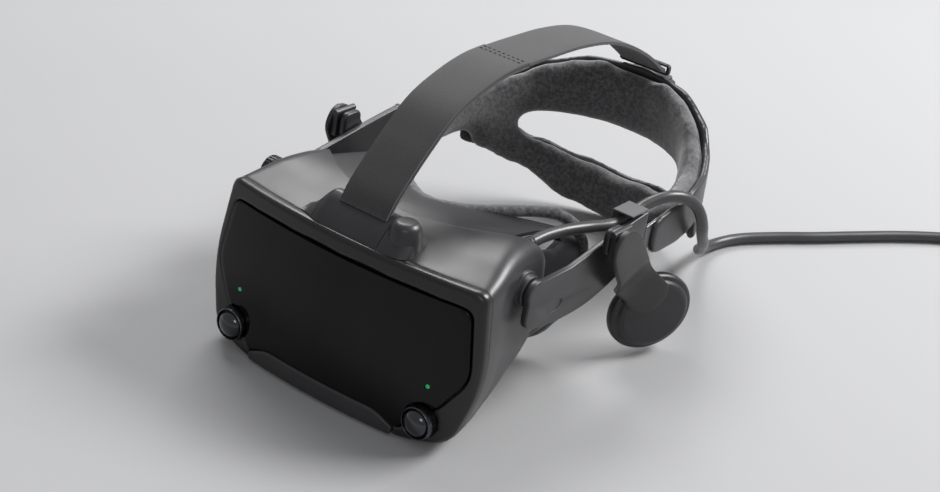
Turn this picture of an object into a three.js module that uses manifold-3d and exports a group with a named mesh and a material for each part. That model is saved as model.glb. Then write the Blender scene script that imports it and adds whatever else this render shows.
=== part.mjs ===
// Head-worn display with side arms, a rear cradle, off-ear speakers, a top strap and a tether lead.
// Millimetres, +Z up, -Y is where the wearer looks, +X is the wearer's left.
// The headset is drawn level with the wearer's eyes and then pitched to stand on a table.
import * as THREE from 'three';
import Module from 'manifold-3d';
import { mergeVertices } from 'three/addons/utils/BufferGeometryUtils.js';
import { TessellateModifier } from 'three/addons/modifiers/TessellateModifier.js';

const wasm = await Module();
wasm.setup();

// ---- Driving dimensions -----------------------------------------------------------------------
const GAP = 0.3;                 // clearance kept between neighbouring pieces
const REST_PITCH = 3.3;          // degrees that the visor leans back when the headset stands
const RADIANS = Math.PI / 180;

const FRONT = { bowCentreTop: -9, bowCentreLow: -17, bowPerSquare: 0.00116, top: 46, low: -46 };
const BEZEL_DEPTH = 6;
const PLATE_DEPTH = 2.6;
const WALL = 2.2;

const CAMERA = { x: 67, z: -34.5, radius: 11, lensRadius: 8, front: -16.5, back: -5.2 };
const INDICATOR = { x: 67, z: -14, radius: 1.3, front: -9.9, back: -4 };
const HUB = { y: 43, z: 34, barrel: 10.5, lug: 8, pin: 5, shaft: 2 };
const ARM = { inner: 88.5, outer: 92.5, rear: 151 };
const ARM_RISE = 7.6;            // degrees that the side arms climb towards the back

const EYE = { x: 32, z: 2, tube: 24, lens: 21, front: 25.3, back: 57 };
const FOREHEAD = { centre: 127, radius: 97 };   // plan circle of the visor's rear edge
const STRAP_WIDTH = 32;
const STRAP_SPLIT = 120;         // where the doubled front of the top strap ends

const CRADLE = { y: 185, across: 86, along: 100, padIn: -9, padOut: 2, shellOut: 8.8 };
const RAIL = { inner: 90, outer: 92.4, low: 25, high: 41, tip: 190 };
const DIAL = { z: 56, radius: 19, shaft: 4, pinion: 7 };

// The speaker faces turn forwards by their toe-in, about an upright line through their outer middle.
const SPEAKER = { x: 106, y: 158, z: -12.5, radius: 24.5, stretch: 1.15, depth: 10.5, toe: 25 };
const STEM = { inner: 102, thickness: 3.2, outward: 4.4 };
const SWING = { x: 99.7, z: 55 };
const UNDERSIDE = -48;           // lowest face of the two controls under the visor
const GLAND = { x: 67, z: 46.6, radius: 4.6, start: 50, length: 20 };
const CORD_DIAMETER = 7;

// ---- Helpers ----------------------------------------------------------------------------------
const point = (x, y, z) => new THREE.Vector3(x, y, z);
const clamp01 = (value) => Math.min(1, Math.max(0, value));
const smooth = (value) => clamp01(value) ** 2 * (3 - 2 * clamp01(value));

// Reads a short table of [input, output] pairs, easing from each pair to the next.
function along(table, input) {
  const last = table.length - 1;
  if (input <= table[0][0]) return table[0][1];
  for (let i = 0; i < last; i += 1) {
    const [x0, y0] = table[i];
    const [x1, y1] = table[i + 1];
    if (input <= x1) return y0 + (y1 - y0) * smooth((input - x0) / (x1 - x0));
  }
  return table[last][1];
}

// Keeps only positions, merges shared corners and turns the faces outwards.
function welded(geometry) {
  const bare = new THREE.BufferGeometry();
  bare.setAttribute('position', geometry.getAttribute('position').clone());
  if (geometry.index) bare.setIndex(geometry.index.clone());
  const merged = mergeVertices(bare, 1e-4);
  const kept = [];
  const index = merged.index.array;
  for (let i = 0; i < index.length; i += 3) {
    const [a, b, c] = [index[i], index[i + 1], index[i + 2]];
    if (a !== b && b !== c && c !== a) kept.push(a, b, c);
  }
  if (signedVolume(merged, kept) < 0) kept.reverse();
  merged.setIndex(kept);
  return merged;
}

function signedVolume(geometry, index) {
  const position = geometry.getAttribute('position');
  const [a, b, c] = [point(), point(), point()];
  let total = 0;
  for (let i = 0; i < index.length; i += 3) {
    a.fromBufferAttribute(position, index[i]);
    b.fromBufferAttribute(position, index[i + 1]);
    c.fromBufferAttribute(position, index[i + 2]);
    total += a.dot(b.cross(c));
  }
  return total;
}

function toSolid(geometry) {
  const closed = welded(geometry);
  return new wasm.Manifold(new wasm.Mesh({
    numProp: 3,
    vertProperties: Float32Array.from(closed.getAttribute('position').array),
    triVerts: Uint32Array.from(closed.index.array),
  }));
}

function toGeometry(solid) {
  const { vertProperties, triVerts } = solid.getMesh();
  const geometry = new THREE.BufferGeometry();
  geometry.setAttribute('position', new THREE.BufferAttribute(Float32Array.from(vertProperties), 3));
  geometry.setIndex(Array.from(triVerts));
  return geometry;
}

const cut = (body, ...tools) =>
  toGeometry(tools.reduce((solid, tool) => solid.subtract(toSolid(tool)), toSolid(body)));
const join = (body, ...others) =>
  toGeometry(others.reduce((solid, other) => solid.add(toSolid(other)), toSolid(body)));
const common = (body, other) => toGeometry(toSolid(body).intersect(toSolid(other)));

const box = (x0, x1, y0, y1, z0, z1) =>
  new THREE.BoxGeometry(x1 - x0, y1 - y0, z1 - z0).translate((x0 + x1) / 2, (y0 + y1) / 2, (z0 + z1) / 2);

// A round bar along X between x0 and x1, and one along Y between y0 and y1.
const barX = (radius, x0, x1, y, z, sides = 24) =>
  new THREE.CylinderGeometry(radius, radius, x1 - x0, sides)
    .rotateZ(Math.PI / 2).translate((x0 + x1) / 2, y, z);
const barY = (radius, y0, y1, x, z, sides = 24) =>
  new THREE.CylinderGeometry(radius, radius, y1 - y0, sides).translate(x, (y0 + y1) / 2, z);

// Skin over a row of rings with equal point counts; open rows get flat fans at both ends.
function loft(rings, closed = false) {
  const count = rings[0].length;
  const positions = rings.flat().flatMap((p) => [p.x, p.y, p.z]);
  const index = [];
  const spans = closed ? rings.length : rings.length - 1;
  for (let i = 0; i < spans; i += 1) {
    const next = (i + 1) % rings.length;
    for (let j = 0; j < count; j += 1) {
      const k = (j + 1) % count;
      const [a, b, c, d] = [i * count + j, i * count + k, next * count + k, next * count + j];
      index.push(a, b, c, a, c, d);
    }
  }
  if (!closed) {
    [0, rings.length - 1].forEach((i) => {
      const centre = rings[i].reduce((sum, p) => sum.add(p), point(0, 0, 0)).divideScalar(count);
      const hub = positions.length / 3;
      positions.push(centre.x, centre.y, centre.z);
      for (let j = 0; j < count; j += 1) {
        const [a, b] = [i * count + j, i * count + ((j + 1) % count)];
        index.push(...(i === 0 ? [hub, b, a] : [hub, a, b]));
      }
    });
  }
  const geometry = new THREE.BufferGeometry();
  geometry.setAttribute('position', new THREE.Float32BufferAttribute(positions, 3));
  geometry.setIndex(index);
  return geometry;
}

// Closed outline through corners [x, z, tangent length], each corner turned by a short curve.
function roundedLoop(corners, steps = 3) {
  const points = [];
  corners.forEach(([x, z, reach], i) => {
    const here = new THREE.Vector2(x, z);
    const before = corners.at(i - 1);
    const after = corners[(i + 1) % corners.length];
    const start = new THREE.Vector2(before[0] - x, before[1] - z).setLength(reach).add(here);
    const end = new THREE.Vector2(after[0] - x, after[1] - z).setLength(reach).add(here);
    points.push(...new THREE.QuadraticBezierCurve(start, here, end).getPoints(steps));
  });
  return points;
}

// The right-hand corners, top to bottom, completed by their mirror images.
const bothSides = (corners) =>
  [...corners, ...corners.slice().reverse().map(([x, z, reach]) => [-x, z, reach])];

// How far forward the bowed front stands at (x, z).
function bow(x, z) {
  const fall = (FRONT.top - z) / (FRONT.top - FRONT.low);
  const centre = FRONT.bowCentreTop + (FRONT.bowCentreLow - FRONT.bowCentreTop) * fall;
  return centre + FRONT.bowPerSquare * x * x;
}

// A flat outline in X and Z, given depth along Y from y0 to y1 and bent to the bowed front.
function bowedPlate(shape, y0, y1, edge = 20) {
  const flat = new THREE.ExtrudeGeometry(shape, { depth: y1 - y0, bevelEnabled: false });
  flat.rotateX(Math.PI / 2).translate(0, y1, 0);
  const fine = new TessellateModifier(edge, 30).modify(flat);
  const position = fine.getAttribute('position');
  for (let i = 0; i < position.count; i += 1) {
    position.setY(i, position.getY(i) + bow(position.getX(i), position.getZ(i)));
  }
  return fine;
}

// An outline in Y and Z, given thickness along X.
function sidePlate(points, x0, x1) {
  const shape = new THREE.Shape(points);
  const flat = new THREE.ExtrudeGeometry(shape, { depth: x1 - x0, bevelEnabled: false, curveSegments: 8 });
  const position = flat.getAttribute('position');
  for (let i = 0; i < position.count; i += 1) {
    const [y, z, x] = [position.getX(i), position.getY(i), position.getZ(i)];
    position.setXYZ(i, x0 + x, y, z);
  }
  return flat;
}

function mirrored(geometry) {
  return geometry.clone().scale(-1, 1, 1);
}

// ---- Visor shells -----------------------------------------------------------------------------
const FRONT_OUTLINE = [[88, 46, 7], [95, -6, 20], [84, -43, 9], [58, -49.8, 10]];

// Corner rows from the bezel back to the rear edge: [y, corners, how much of the bow is left].
const HOUSING_ROWS = [
  [BEZEL_DEPTH + GAP, FRONT_OUTLINE, 1],
  [16, [[87, 49, 10], [92, -6, 20], [82, -42.4, 10], [57, -48.6, 10]], 0.6],
  [28, [[85, 53, 13], [87.6, -6, 20], [79, -40.5, 12], [55, -47.8, 10]], 0.25],
  [42, [[82, 55, 14], [84.4, -4, 20], [75.5, -37.5, 13], [51, -46.8, 10]], 0],
  [58, [[79, 54, 14], [81.4, -2, 20], [71, -33, 14], [46, -44, 10]], 0],
  [76, [[77, 50, 14], [79, 0, 20], [68, -29, 14], [42, -40, 10]], 0],
];

function shellRings(rows, inset) {
  return rows.map(([y, corners, share]) => {
    const shrunk = corners.map(([x, z, reach]) => [x - inset, z - Math.sign(z) * inset, reach]);
    return roundedLoop(bothSides(shrunk)).map((p) => point(p.x, y + share * bow(p.x, p.y), p.y));
  });
}

function mainHousing() {
  const outer = loft(shellRings(HOUSING_ROWS, 0));
  const deeper = (i) => (i === 0 ? WALL : 0) + (i === HOUSING_ROWS.length - 1 ? 20 : 0);
  const hollowRows = HOUSING_ROWS.map(([y, corners, share], i) => [y + deeper(i), corners, share]);
  const hollow = loft(shellRings(hollowRows, WALL));
  const rearEdge = foreheadDrum(FOREHEAD.radius);
  const tray = box(-56, 56, -30, 12, -31, 29);
  const anchorSeat = box(-38.4, 38.4, -12, 17.4, 45.8, 70);
  const barrels = [-1, 1].map((side) =>
    barX(HUB.barrel + GAP, side > 0 ? 79.6 : -89, side > 0 ? 89 : -79.6, HUB.y, HUB.z));
  const glandHole = barY(GLAND.radius + GAP, 40, 90, GLAND.x, GLAND.z);
  const sliderSlot = box(-47, -25, 6, 16, -60, -40);
  const buttonHole = box(24, 36, 8, 16, -60, -40);
  return cut(outer, hollow, rearEdge, tray, anchorSeat, ...barrels, glandHole, sliderSlot, buttonHole);
}

// Upright drum whose front gives the curved rear edge of the visor shells.
function foreheadDrum(radius) {
  return new THREE.CylinderGeometry(radius, radius, 240, 56)
    .rotateX(Math.PI / 2).translate(0, FOREHEAD.centre, 0);
}

// Outline of the glossy plate; the camera rings bite into its lower corners.
const PLATE_CORNERS = [[82, 35, 6], [88.6, -3, 8], [75, -23.5, 4], [53, -44.2, 3], [39, -38.4, 5]];

function outlineShape(corners, grow = 0, steps = 3) {
  const grown = corners.map(([x, z, reach]) => [x + Math.sign(x) * grow, z + Math.sign(z) * grow, reach]);
  return new THREE.Shape(roundedLoop(bothSides(grown), steps));
}

function cameraHoles(radius, y0 = -40, y1 = 20) {
  return [-1, 1].map((side) => barY(radius, y0, y1, side * CAMERA.x, CAMERA.z, 20));
}

function frontBezel() {
  const ring = bowedPlate(outlineShape(FRONT_OUTLINE), 0, BEZEL_DEPTH);
  const window = bowedPlate(outlineShape(PLATE_CORNERS, 0.4), -2, BEZEL_DEPTH + 2);
  const sill = box(-52.4, 52.4, -40, 20, -60, -38);
  return cut(ring, window, sill, ...cameraHoles(CAMERA.radius + GAP));
}

function faceplate() {
  const plate = bowedPlate(outlineShape(PLATE_CORNERS), -0.6, PLATE_DEPTH - 0.6);
  const { x, z, radius } = INDICATOR;
  const lights = [-1, 1].map((side) => barY(radius + GAP, -40, 20, side * x, z, 12));
  return cut(plate, ...cameraHoles(CAMERA.radius + 1), ...lights);
}

function lowerTrim() {
  const half = [[39.2, -39, 5], [52, -44.8, 2], [51, -49.3, 1.6]];
  return bowedPlate(outlineShape(half), -1.4, BEZEL_DEPTH - 0.2);
}

function cameraRing() {
  const { radius, lensRadius, front, back } = CAMERA;
  const depth = back - front;
  const profile = [[lensRadius, 0], [lensRadius + 0.6, 2], [radius - 1.2, 0], [radius, 1.6], [radius, depth],
    [lensRadius + GAP, depth], [lensRadius + GAP, 4.2], [lensRadius, 3.4]];
  const closed = [...profile, profile[0]].map(([r, y]) => new THREE.Vector2(r, y));
  return new THREE.LatheGeometry(closed, 20);
}

function cameraLens() {
  const { lensRadius } = CAMERA;
  const dome = [[0, -0.8], [lensRadius * 0.45, -0.2], [lensRadius * 0.8, 1.4], [lensRadius - GAP, 3.2],
    [lensRadius - GAP, 8], [0, 8]];
  return new THREE.LatheGeometry(dome.map(([r, y]) => new THREE.Vector2(r, y)), 16);
}

// Raised block on the visor's brow that holds the top strap, with a round boss near its left end.
function strapAnchor() {
  const side = [[-5, 46.2], [-4.8, 47.6], [-1.5, 55.2], [3.4, 61.4], [8.6, 63.6], [13.4, 62.4], [17, 58.5],
    [17, 46.2]];
  const widths = [[-37, 0.2], [-35.6, 0.66], [-33, 0.88], [-27, 1], [27, 1], [33, 0.88], [35.6, 0.66],
    [37, 0.2]];
  const [middle, base] = [6, 46.2];
  const rings = widths.map(([x, share]) => side.map(([y, z]) =>
    point(x, middle + (y - middle) * (0.55 + 0.45 * share), base + (z - base) * share)));
  const boss = new THREE.CylinderGeometry(5.6, 8.6, 17.2, 24).rotateX(Math.PI / 2).translate(27.5, 7, 55.6);
  const slot = box(-STRAP_WIDTH / 2 - 0.6, STRAP_WIDTH / 2 + 0.6, 2.6, 14.4, 54, 70);
  return cut(join(loft(rings), boss), slot);
}

function bayTray() {
  const outer = box(-55, 55, -4.6, 11.2, -30, 28);
  const inner = box(-53, 53, -20, 9.2, -28, 26);
  const socket = box(-9, 9, 0, 20, -6, 4);
  return cut(outer, inner, socket);
}

function hubBarrel() {
  const { barrel, pin, y, z } = HUB;
  const drum = join(barX(barrel, 80, 84.6, y, z, 32), barX(barrel - 1.6, 84, 87.9, y, z, 32));
  return cut(drum, barX(pin + GAP, 78, 90, y, z, 32));
}

// Foam line: the outline seen from behind and how far back it lies.
const FACE_OUTLINE = [[72.5, 48, 22], [73.5, 2, 20], [58, -29, 14], [36, -38, 10]];
const NOSE_HALF = 21;
const faceDepth = (x) => 62 + 28 * (1 - Math.cos((Math.PI * Math.min(Math.abs(x), 74)) / 74));

function gasketLine() {
  const loop = roundedLoop(bothSides(FACE_OUTLINE), 6);
  const outline = new THREE.Path([...loop, loop[0]]).getSpacedPoints(96).slice(1);
  const kept = outline.filter((p) => p.y > 0 || Math.abs(p.x) > NOSE_HALF);
  const start = kept.findIndex((p, i) => p.y < 0 && p.x > 0 && kept[(i + 1) % kept.length].x < 0);
  const ordered = [...kept.slice(start + 1), ...kept.slice(0, start + 1)];
  const nostril = (side) => point(side * (NOSE_HALF - 1), faceDepth(NOSE_HALF), -31);
  const points = [nostril(-1), ...ordered.map((p) => point(p.x, faceDepth(p.x), p.y)), nostril(1)];
  return new THREE.CatmullRomCurve3(points).getSpacedPoints(44);
}

// Sweeps an oval along points, its first axis turned away from the middle of the face.
function ovalSweep(points, across, deep, sides = 8) {
  const rings = points.map((p, i) => {
    const ahead = points[Math.min(i + 1, points.length - 1)];
    const behind = points[Math.max(i - 1, 0)];
    const tangent = ahead.clone().sub(behind).normalize();
    const outward = point(p.x, 0, p.z - 4);
    outward.addScaledVector(tangent, -outward.dot(tangent)).normalize();
    const back = tangent.clone().cross(outward);
    return Array.from({ length: sides }, (_, j) => {
      const turn = (j / sides) * Math.PI * 2;
      return p.clone().addScaledVector(outward, across * Math.cos(turn))
        .addScaledVector(back, deep * Math.sin(turn));
    });
  });
  return loft(rings);
}

const faceGasket = () => ovalSweep(gasketLine(), 6, 6.5);

function gasketFrame() {
  const last = [[76, 42, 14], [77, 2, 20], [64, -26, 14], [40, -37, 10]];
  const rows = [...HOUSING_ROWS.slice(1, 5), [118, last, 0]];
  const skin = WALL + 0.4;
  const overrun = [-3, 0, 0, 0, 3];
  const longer = rows.map(([y, corners, share], i) => [y + overrun[i], corners, share]);
  const shell = cut(loft(shellRings(rows, skin)), loft(shellRings(longer, skin + 2)));
  const nested = common(shell, foreheadDrum(FOREHEAD.radius + 9));
  const face = [[-110, 300]];
  for (let x = -110; x <= 110; x += 10) face.push([x, faceDepth(x) - 4]);
  face.push([110, 300]);
  const behindFace = new THREE.ExtrudeGeometry(
    new THREE.Shape(face.map(([x, y]) => new THREE.Vector2(x, y))), { depth: 200, bevelEnabled: false },
  ).translate(0, 0, -100);
  const nose = box(-NOSE_HALF - 3, NOSE_HALF + 3, 18, 140, -80, -20);
  const foam = ovalSweep(gasketLine(), 7, 7);
  const cordNotch = box(GLAND.x - 6, GLAND.x + 6, 30, 96, GLAND.z - 6, 70);
  return cut(nested, behindFace, nose, foam, cordNotch);
}

// ---- Optics -----------------------------------------------------------------------------------
function lensCarriage() {
  const plate = box(-60, 60, 18, 21, -27, 31);
  const windows = [-1, 1].map((side) =>
    box(side * EYE.x - 24, side * EYE.x + 24, 10, 30, EYE.z - 18, EYE.z + 18));
  return cut(plate, ...windows);
}

function eyetube(x) {
  const tube = barY(EYE.tube, 23, EYE.back, x, EYE.z, 24);
  const flange = box(x - 25, x + 25, 21.3, 23.6, EYE.z - 26, EYE.z + 26);
  return cut(join(tube, flange), barY(EYE.tube - 1.6, 10, 80, x, EYE.z, 24));
}

const display = (x) => box(x - 15, x + 15, 24.2, 26.6, EYE.z - 15, EYE.z + 15);

function eyeLens(x) {
  const r = EYE.lens;
  const profile = [[0, 50], [r * 0.5, 49], [r, 46.5], [r, 48.6], [r * 0.55, 53.6], [0, 55.4]];
  const section = profile.map(([radius, y]) => new THREE.Vector2(radius, y));
  return new THREE.LatheGeometry(section, 20).translate(x, 0, EYE.z);
}

// ---- Side arms --------------------------------------------------------------------------------
function sideArm() {
  const lowEdge = [[36.2, 30], [36.2, 18], [40, 14.2], [60, 10.2], [92, 9.4], [110, 12.4], [131, 18.6]];
  const topEdge = [[126, 48.4], [103, 45], [71, 39.9], [50, 36.4]];
  const edge = [...lowEdge, [ARM.rear, 24.6], [ARM.rear, 51.6], ...topEdge];
  const plate = sidePlate(edge.map(([y, z]) => new THREE.Vector2(y, z)), ARM.inner, ARM.outer);
  const lug = barX(HUB.lug, ARM.inner, ARM.outer, HUB.y, HUB.z, 28);
  return cut(join(plate, lug), barX(HUB.shaft + GAP, 80, 100, HUB.y, HUB.z, 16));
}

function hubPin() {
  const { pin, shaft, y, z } = HUB;
  return cut(barX(pin, 80.3, ARM.inner - GAP, y, z, 24), barX(shaft + GAP, 70, 100, y, z, 16));
}

// A straight bar that follows the arm's climb; z is given at y = 151.
function rail() {
  const { inner, outer, low, high, tip } = RAIL;
  return climbing(box(inner, outer, ARM.rear + GAP, tip, low, high));
}

function climbing(geometry) {
  const position = geometry.getAttribute('position');
  for (let i = 0; i < position.count; i += 1) {
    const rise = (position.getY(i) - ARM.rear) * Math.tan(ARM_RISE * RADIANS);
    position.setZ(i, position.getZ(i) + rise);
  }
  return geometry;
}

function cableClip() {
  const side = [[78.6, 46.5], [80.2, 46.5], [80.2, 52.6], [ARM.inner, 52.6], [ARM.inner, 51.4],
    [ARM.outer, 51.4], [ARM.outer, 54.4], [78.6, 54.4]];
  const shape = new THREE.Shape(side.map(([x, z]) => new THREE.Vector2(x, z)));
  const [start, length] = [131, 17];
  return new THREE.ExtrudeGeometry(shape, { depth: length, bevelEnabled: false })
    .rotateX(Math.PI / 2).translate(0, start + length, 0);
}

// ---- Rear cradle ------------------------------------------------------------------------------
const UPPER_TOP = [[0, 79], [20, 78], [43, 70], [54, 61], [70, 53.5], [90, 49.5], [115, 46.5]];
const UPPER_LOW = [[0, 34], [40, 33.5], [55, 29], [66, 22], [90, 18], [115, 18]];
const LOWER_TOP = [[0, 1.5], [22, 6], [40, 14], [55, 27], [66, 34], [80, 36]];
const LOWER_LOW = [[0, -33.3], [22, -27.5], [50, -6], [64, 5], [80, 15]];

// A place on the cradle: turn is degrees from the back; past 90 it runs straight forward in millimetres.
function onCradle(turn, radial, z) {
  const side = Math.sign(turn) || 1;
  const bend = Math.min(Math.abs(turn), 90) * RADIANS;
  const straight = Math.max(0, Math.abs(turn) - 90);
  const lean = -0.0014 * (z - 15) ** 2 * Math.cos(bend);
  const reach = radial + lean;
  const x = side * (CRADLE.across + reach) * Math.sin(bend);
  const y = CRADLE.y + (CRADLE.along + reach) * Math.cos(bend) - straight;
  return point(x, y, z);
}

// One band round the head between two heights, with softened edges.
function headBand(low, high, inner, outer, furthest, trim, soften) {
  const turns = [];
  const step = 9;
  for (let turn = -furthest; turn <= furthest + 0.01; turn += step) turns.push(turn);
  const rings = turns.map((turn) => {
    const [z0, z1] = [along(low, Math.abs(turn)) + trim, along(high, Math.abs(turn)) - trim];
    const levels = [0, 0.08, 0.5, 0.92, 1];
    const tuck = [soften, 0, 0, 0, soften];
    const height = (share) => z0 + (z1 - z0) * share;
    const inside = levels.map((share, i) => onCradle(turn, inner + tuck[i], height(share)));
    const outside = levels.map((share, i) => onCradle(turn, outer - tuck[i], height(share)));
    return [...inside, ...outside.reverse()];
  });
  return loft(rings);
}

function cradleWrap(inner, outer, trim, soften) {
  const upper = headBand(UPPER_LOW, UPPER_TOP, inner, outer, 117, trim, soften);
  const lower = headBand(LOWER_LOW, LOWER_TOP, inner, outer, 72, trim, soften);
  return join(upper, lower);
}

function railSlots() {
  const slot = climbing(box(RAIL.inner - 0.5, RAIL.outer + 0.5, 140, 200, RAIL.low - 1, RAIL.high + 1));
  return [slot, mirrored(slot)];
}

function rearShell() {
  const wrap = cradleWrap(CRADLE.padOut + GAP, CRADLE.shellOut, 1.2, 1.2);
  const boss = barY(22, 288, 296, 0, DIAL.z, 40);
  const whole = join(wrap, boss);
  const bore = barY(DIAL.shaft + 0.4, 270, 310, 0, DIAL.z, 24);
  const gearPocket = barY(DIAL.pinion + 2.4, 270, 290.4, 0, DIAL.z, 32);
  return cut(whole, bore, gearPocket, ...railSlots());
}

const rearPad = () => cradleWrap(CRADLE.padIn, CRADLE.padOut, 0, 3);

function adjusterDial() {
  const grip = barY(DIAL.radius, 296.4, 304.6, 0, DIAL.z, 36);
  const shaft = barY(DIAL.shaft, 285.8, 297, 0, DIAL.z, 24);
  const ribs = Array.from({ length: 12 }, (_, i) => {
    const turn = (i / 12) * Math.PI * 2;
    const reach = DIAL.radius + 0.6;
    return barY(1.6, 296, 306, reach * Math.cos(turn), DIAL.z + reach * Math.sin(turn), 8);
  });
  return cut(join(grip, shaft), ...ribs);
}

function dialPinion() {
  const teeth = 12;
  const shape = new THREE.Shape(Array.from({ length: teeth * 4 }, (_, i) => {
    const radius = i % 4 < 2 ? DIAL.pinion + 1.2 : DIAL.pinion - 1;
    const turn = (i / (teeth * 4)) * Math.PI * 2;
    return new THREE.Vector2(radius * Math.cos(turn), radius * Math.sin(turn));
  }));
  const gear = new THREE.ExtrudeGeometry(shape, { depth: 2.4, bevelEnabled: false }).rotateX(Math.PI / 2)
    .translate(0, 289.6, DIAL.z);
  return cut(gear, barY(DIAL.shaft + GAP, 270, 310, 0, DIAL.z, 24));
}

// ---- Top strap --------------------------------------------------------------------------------
const STRAP_LINE = [[5.5, 57.5], [11, 66.2], [20, 76], [36, 91.5], [55, 106.5], [80, 116], [100, 120.3],
  [124, 121.5], [148, 121.3], [177, 120.3], [208, 116], [236, 107], [258, 96.6], [272, 88], [281, 82]];

function ribbon(from, to, thickness) {
  const curve = new THREE.CatmullRomCurve3(STRAP_LINE.map(([y, z]) => point(0, y, z)));
  const centre = curve.getSpacedPoints(54).filter((p) => p.y >= from && p.y <= to);
  const sides = [1, -1].map((side) => centre.map((p, i) => {
    const ahead = centre[Math.min(i + 1, centre.length - 1)];
    const behind = centre[Math.max(i - 1, 0)];
    const [dy, dz] = [ahead.y - behind.y, ahead.z - behind.z];
    const reach = (side * thickness) / 2 / Math.hypot(dy, dz);
    return new THREE.Vector2(p.y - dz * reach, p.z + dy * reach);
  }));
  return sidePlate([...sides[0], ...sides[1].reverse()], -STRAP_WIDTH / 2, STRAP_WIDTH / 2);
}

function strapBuckle() {
  const bar = box(-20, 20, 282.3, 287.6, 78.2, 86);
  return cut(bar, box(-16.8, 16.8, 270, 300, 80.2, 84));
}

// ---- Speakers ---------------------------------------------------------------------------------
const STEM_EDGE = [[97, 56.5], [97, 46], [101.5, 35.5], [108, 26], [116.5, 15.5], [134.4, 1]];
const STEM_BACK = [[159.6, 9], [148.5, 20], [139, 30.5], [130.5, 41], [123, 51.5], [118, 57.6]];
const STEM_END = { y: 147.5, z: 4.5, radius: 12.6 };

// Below the side arm the strip turns to lie flat on the toed-in speaker; its front edge turns less.
function stemTwist(y, z) {
  const turned = smooth((24 + 0.3 * (y - 108) - z) / 22);
  const ahead = SPEAKER.y - y;
  const held = ahead < 20 ? ahead : 20 + 8 * (1 - Math.exp((20 - ahead) / 8));
  return turned * (STEM.outward - held * Math.tan(SPEAKER.toe * RADIANS));
}

function speakerStem() {
  const round = [];
  for (let turn = 190; turn <= 385; turn += 15) {
    const angle = turn * RADIANS;
    const [across, up] = [STEM_END.radius * Math.cos(angle), STEM_END.radius * Math.sin(angle)];
    round.push([STEM_END.y + across, STEM_END.z + up]);
  }
  const outline = [...STEM_EDGE.slice(0, -1), ...round, ...STEM_BACK.slice(1)];
  const flat = outline.map(([y, z]) => new THREE.Vector2(y, z));
  const strip = sidePlate(flat, STEM.inner, STEM.inner + STEM.thickness);
  const fine = new TessellateModifier(13, 30).modify(strip);
  const position = fine.getAttribute('position');
  for (let i = 0; i < position.count; i += 1) {
    const [y, z] = [position.getY(i), position.getZ(i)];
    position.setX(i, position.getX(i) + stemTwist(y, z));
  }
  return fine;
}

const speakerMount = () => box(ARM.outer + GAP, 97.4, 99.5, 117, 38, 55.5);

function stemGuide() {
  const knuckle = barY(1.9, 99.5, 117, SWING.x, SWING.z, 12);
  const tongue = box(SWING.x - 1.2, 101.7, 100.5, 116, 40, SWING.z);
  return join(knuckle, tongue);
}

// An oval turned piece of the left speaker: [radius, distance in front of the speaker's inner face].
function turnedToSide(profile, sides) {
  const section = profile.map(([r, x]) => new THREE.Vector2(r, x - SPEAKER.depth));
  return new THREE.LatheGeometry(section, sides)
    .rotateZ(-Math.PI / 2).scale(1, SPEAKER.stretch, 1).rotateZ(-SPEAKER.toe * RADIANS)
    .translate(SPEAKER.x, SPEAKER.y, SPEAKER.z);
}

function speakerShell() {
  const { radius, depth } = SPEAKER;
  const skin = 2.6;
  return turnedToSide([[0, depth], [radius - 7, depth], [radius - 2, depth - 1.6], [radius, depth - 4.6],
    [radius, 2.4], [radius - 1.4, 0], [radius - 3, 0], [radius - 3, depth - skin], [0, depth - skin]], 28);
}

function speakerGrille() {
  const reach = SPEAKER.radius - 3.4;
  return turnedToSide([[0, 0.3], [reach, 0.3], [reach, 1.5], [0, 1.5]], 28);
}

const speakerDriver = () => turnedToSide([[0, 2], [18, 2], [18, 4.4], [12, 7.2], [0, 7.2]], 20);

// ---- Small controls ---------------------------------------------------------------------------
// Sits on the wearer's right hub and winds the lens carriage back.
function reliefKnob() {
  const disc = barX(9, ARM.outer + GAP, ARM.outer + 6.4, HUB.y, HUB.z, 30);
  const shaft = barX(HUB.shaft, 79, ARM.outer + 1, HUB.y, HUB.z, 16);
  const notches = Array.from({ length: 10 }, (_, i) => {
    const turn = (i / 10) * Math.PI * 2;
    return barX(1.1, 90, 102, HUB.y + 9.3 * Math.cos(turn), HUB.z + 9.3 * Math.sin(turn), 8);
  });
  return mirrored(cut(join(disc, shaft), ...notches));
}

const systemButton = () => box(24.3, 35.7, 8.3, 15.7, UNDERSIDE, UNDERSIDE + 3);
const ipdSlider = () => box(-41, -31, 6.3, 15.7, UNDERSIDE, UNDERSIDE + 3);

function indicator(side) {
  const { x, z, radius, front, back } = INDICATOR;
  return barY(radius, front, back, side * x, z, 12);
}

function cableGland() {
  const { x, z, radius, start, length } = GLAND;
  const cone = [[0, 0], [radius, 0], [radius, 8], [CORD_DIAMETER / 2 + 0.3, length], [0, length]];
  return new THREE.LatheGeometry(cone.map(([r, y]) => new THREE.Vector2(r, y)), 16).translate(x, start, z);
}

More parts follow.
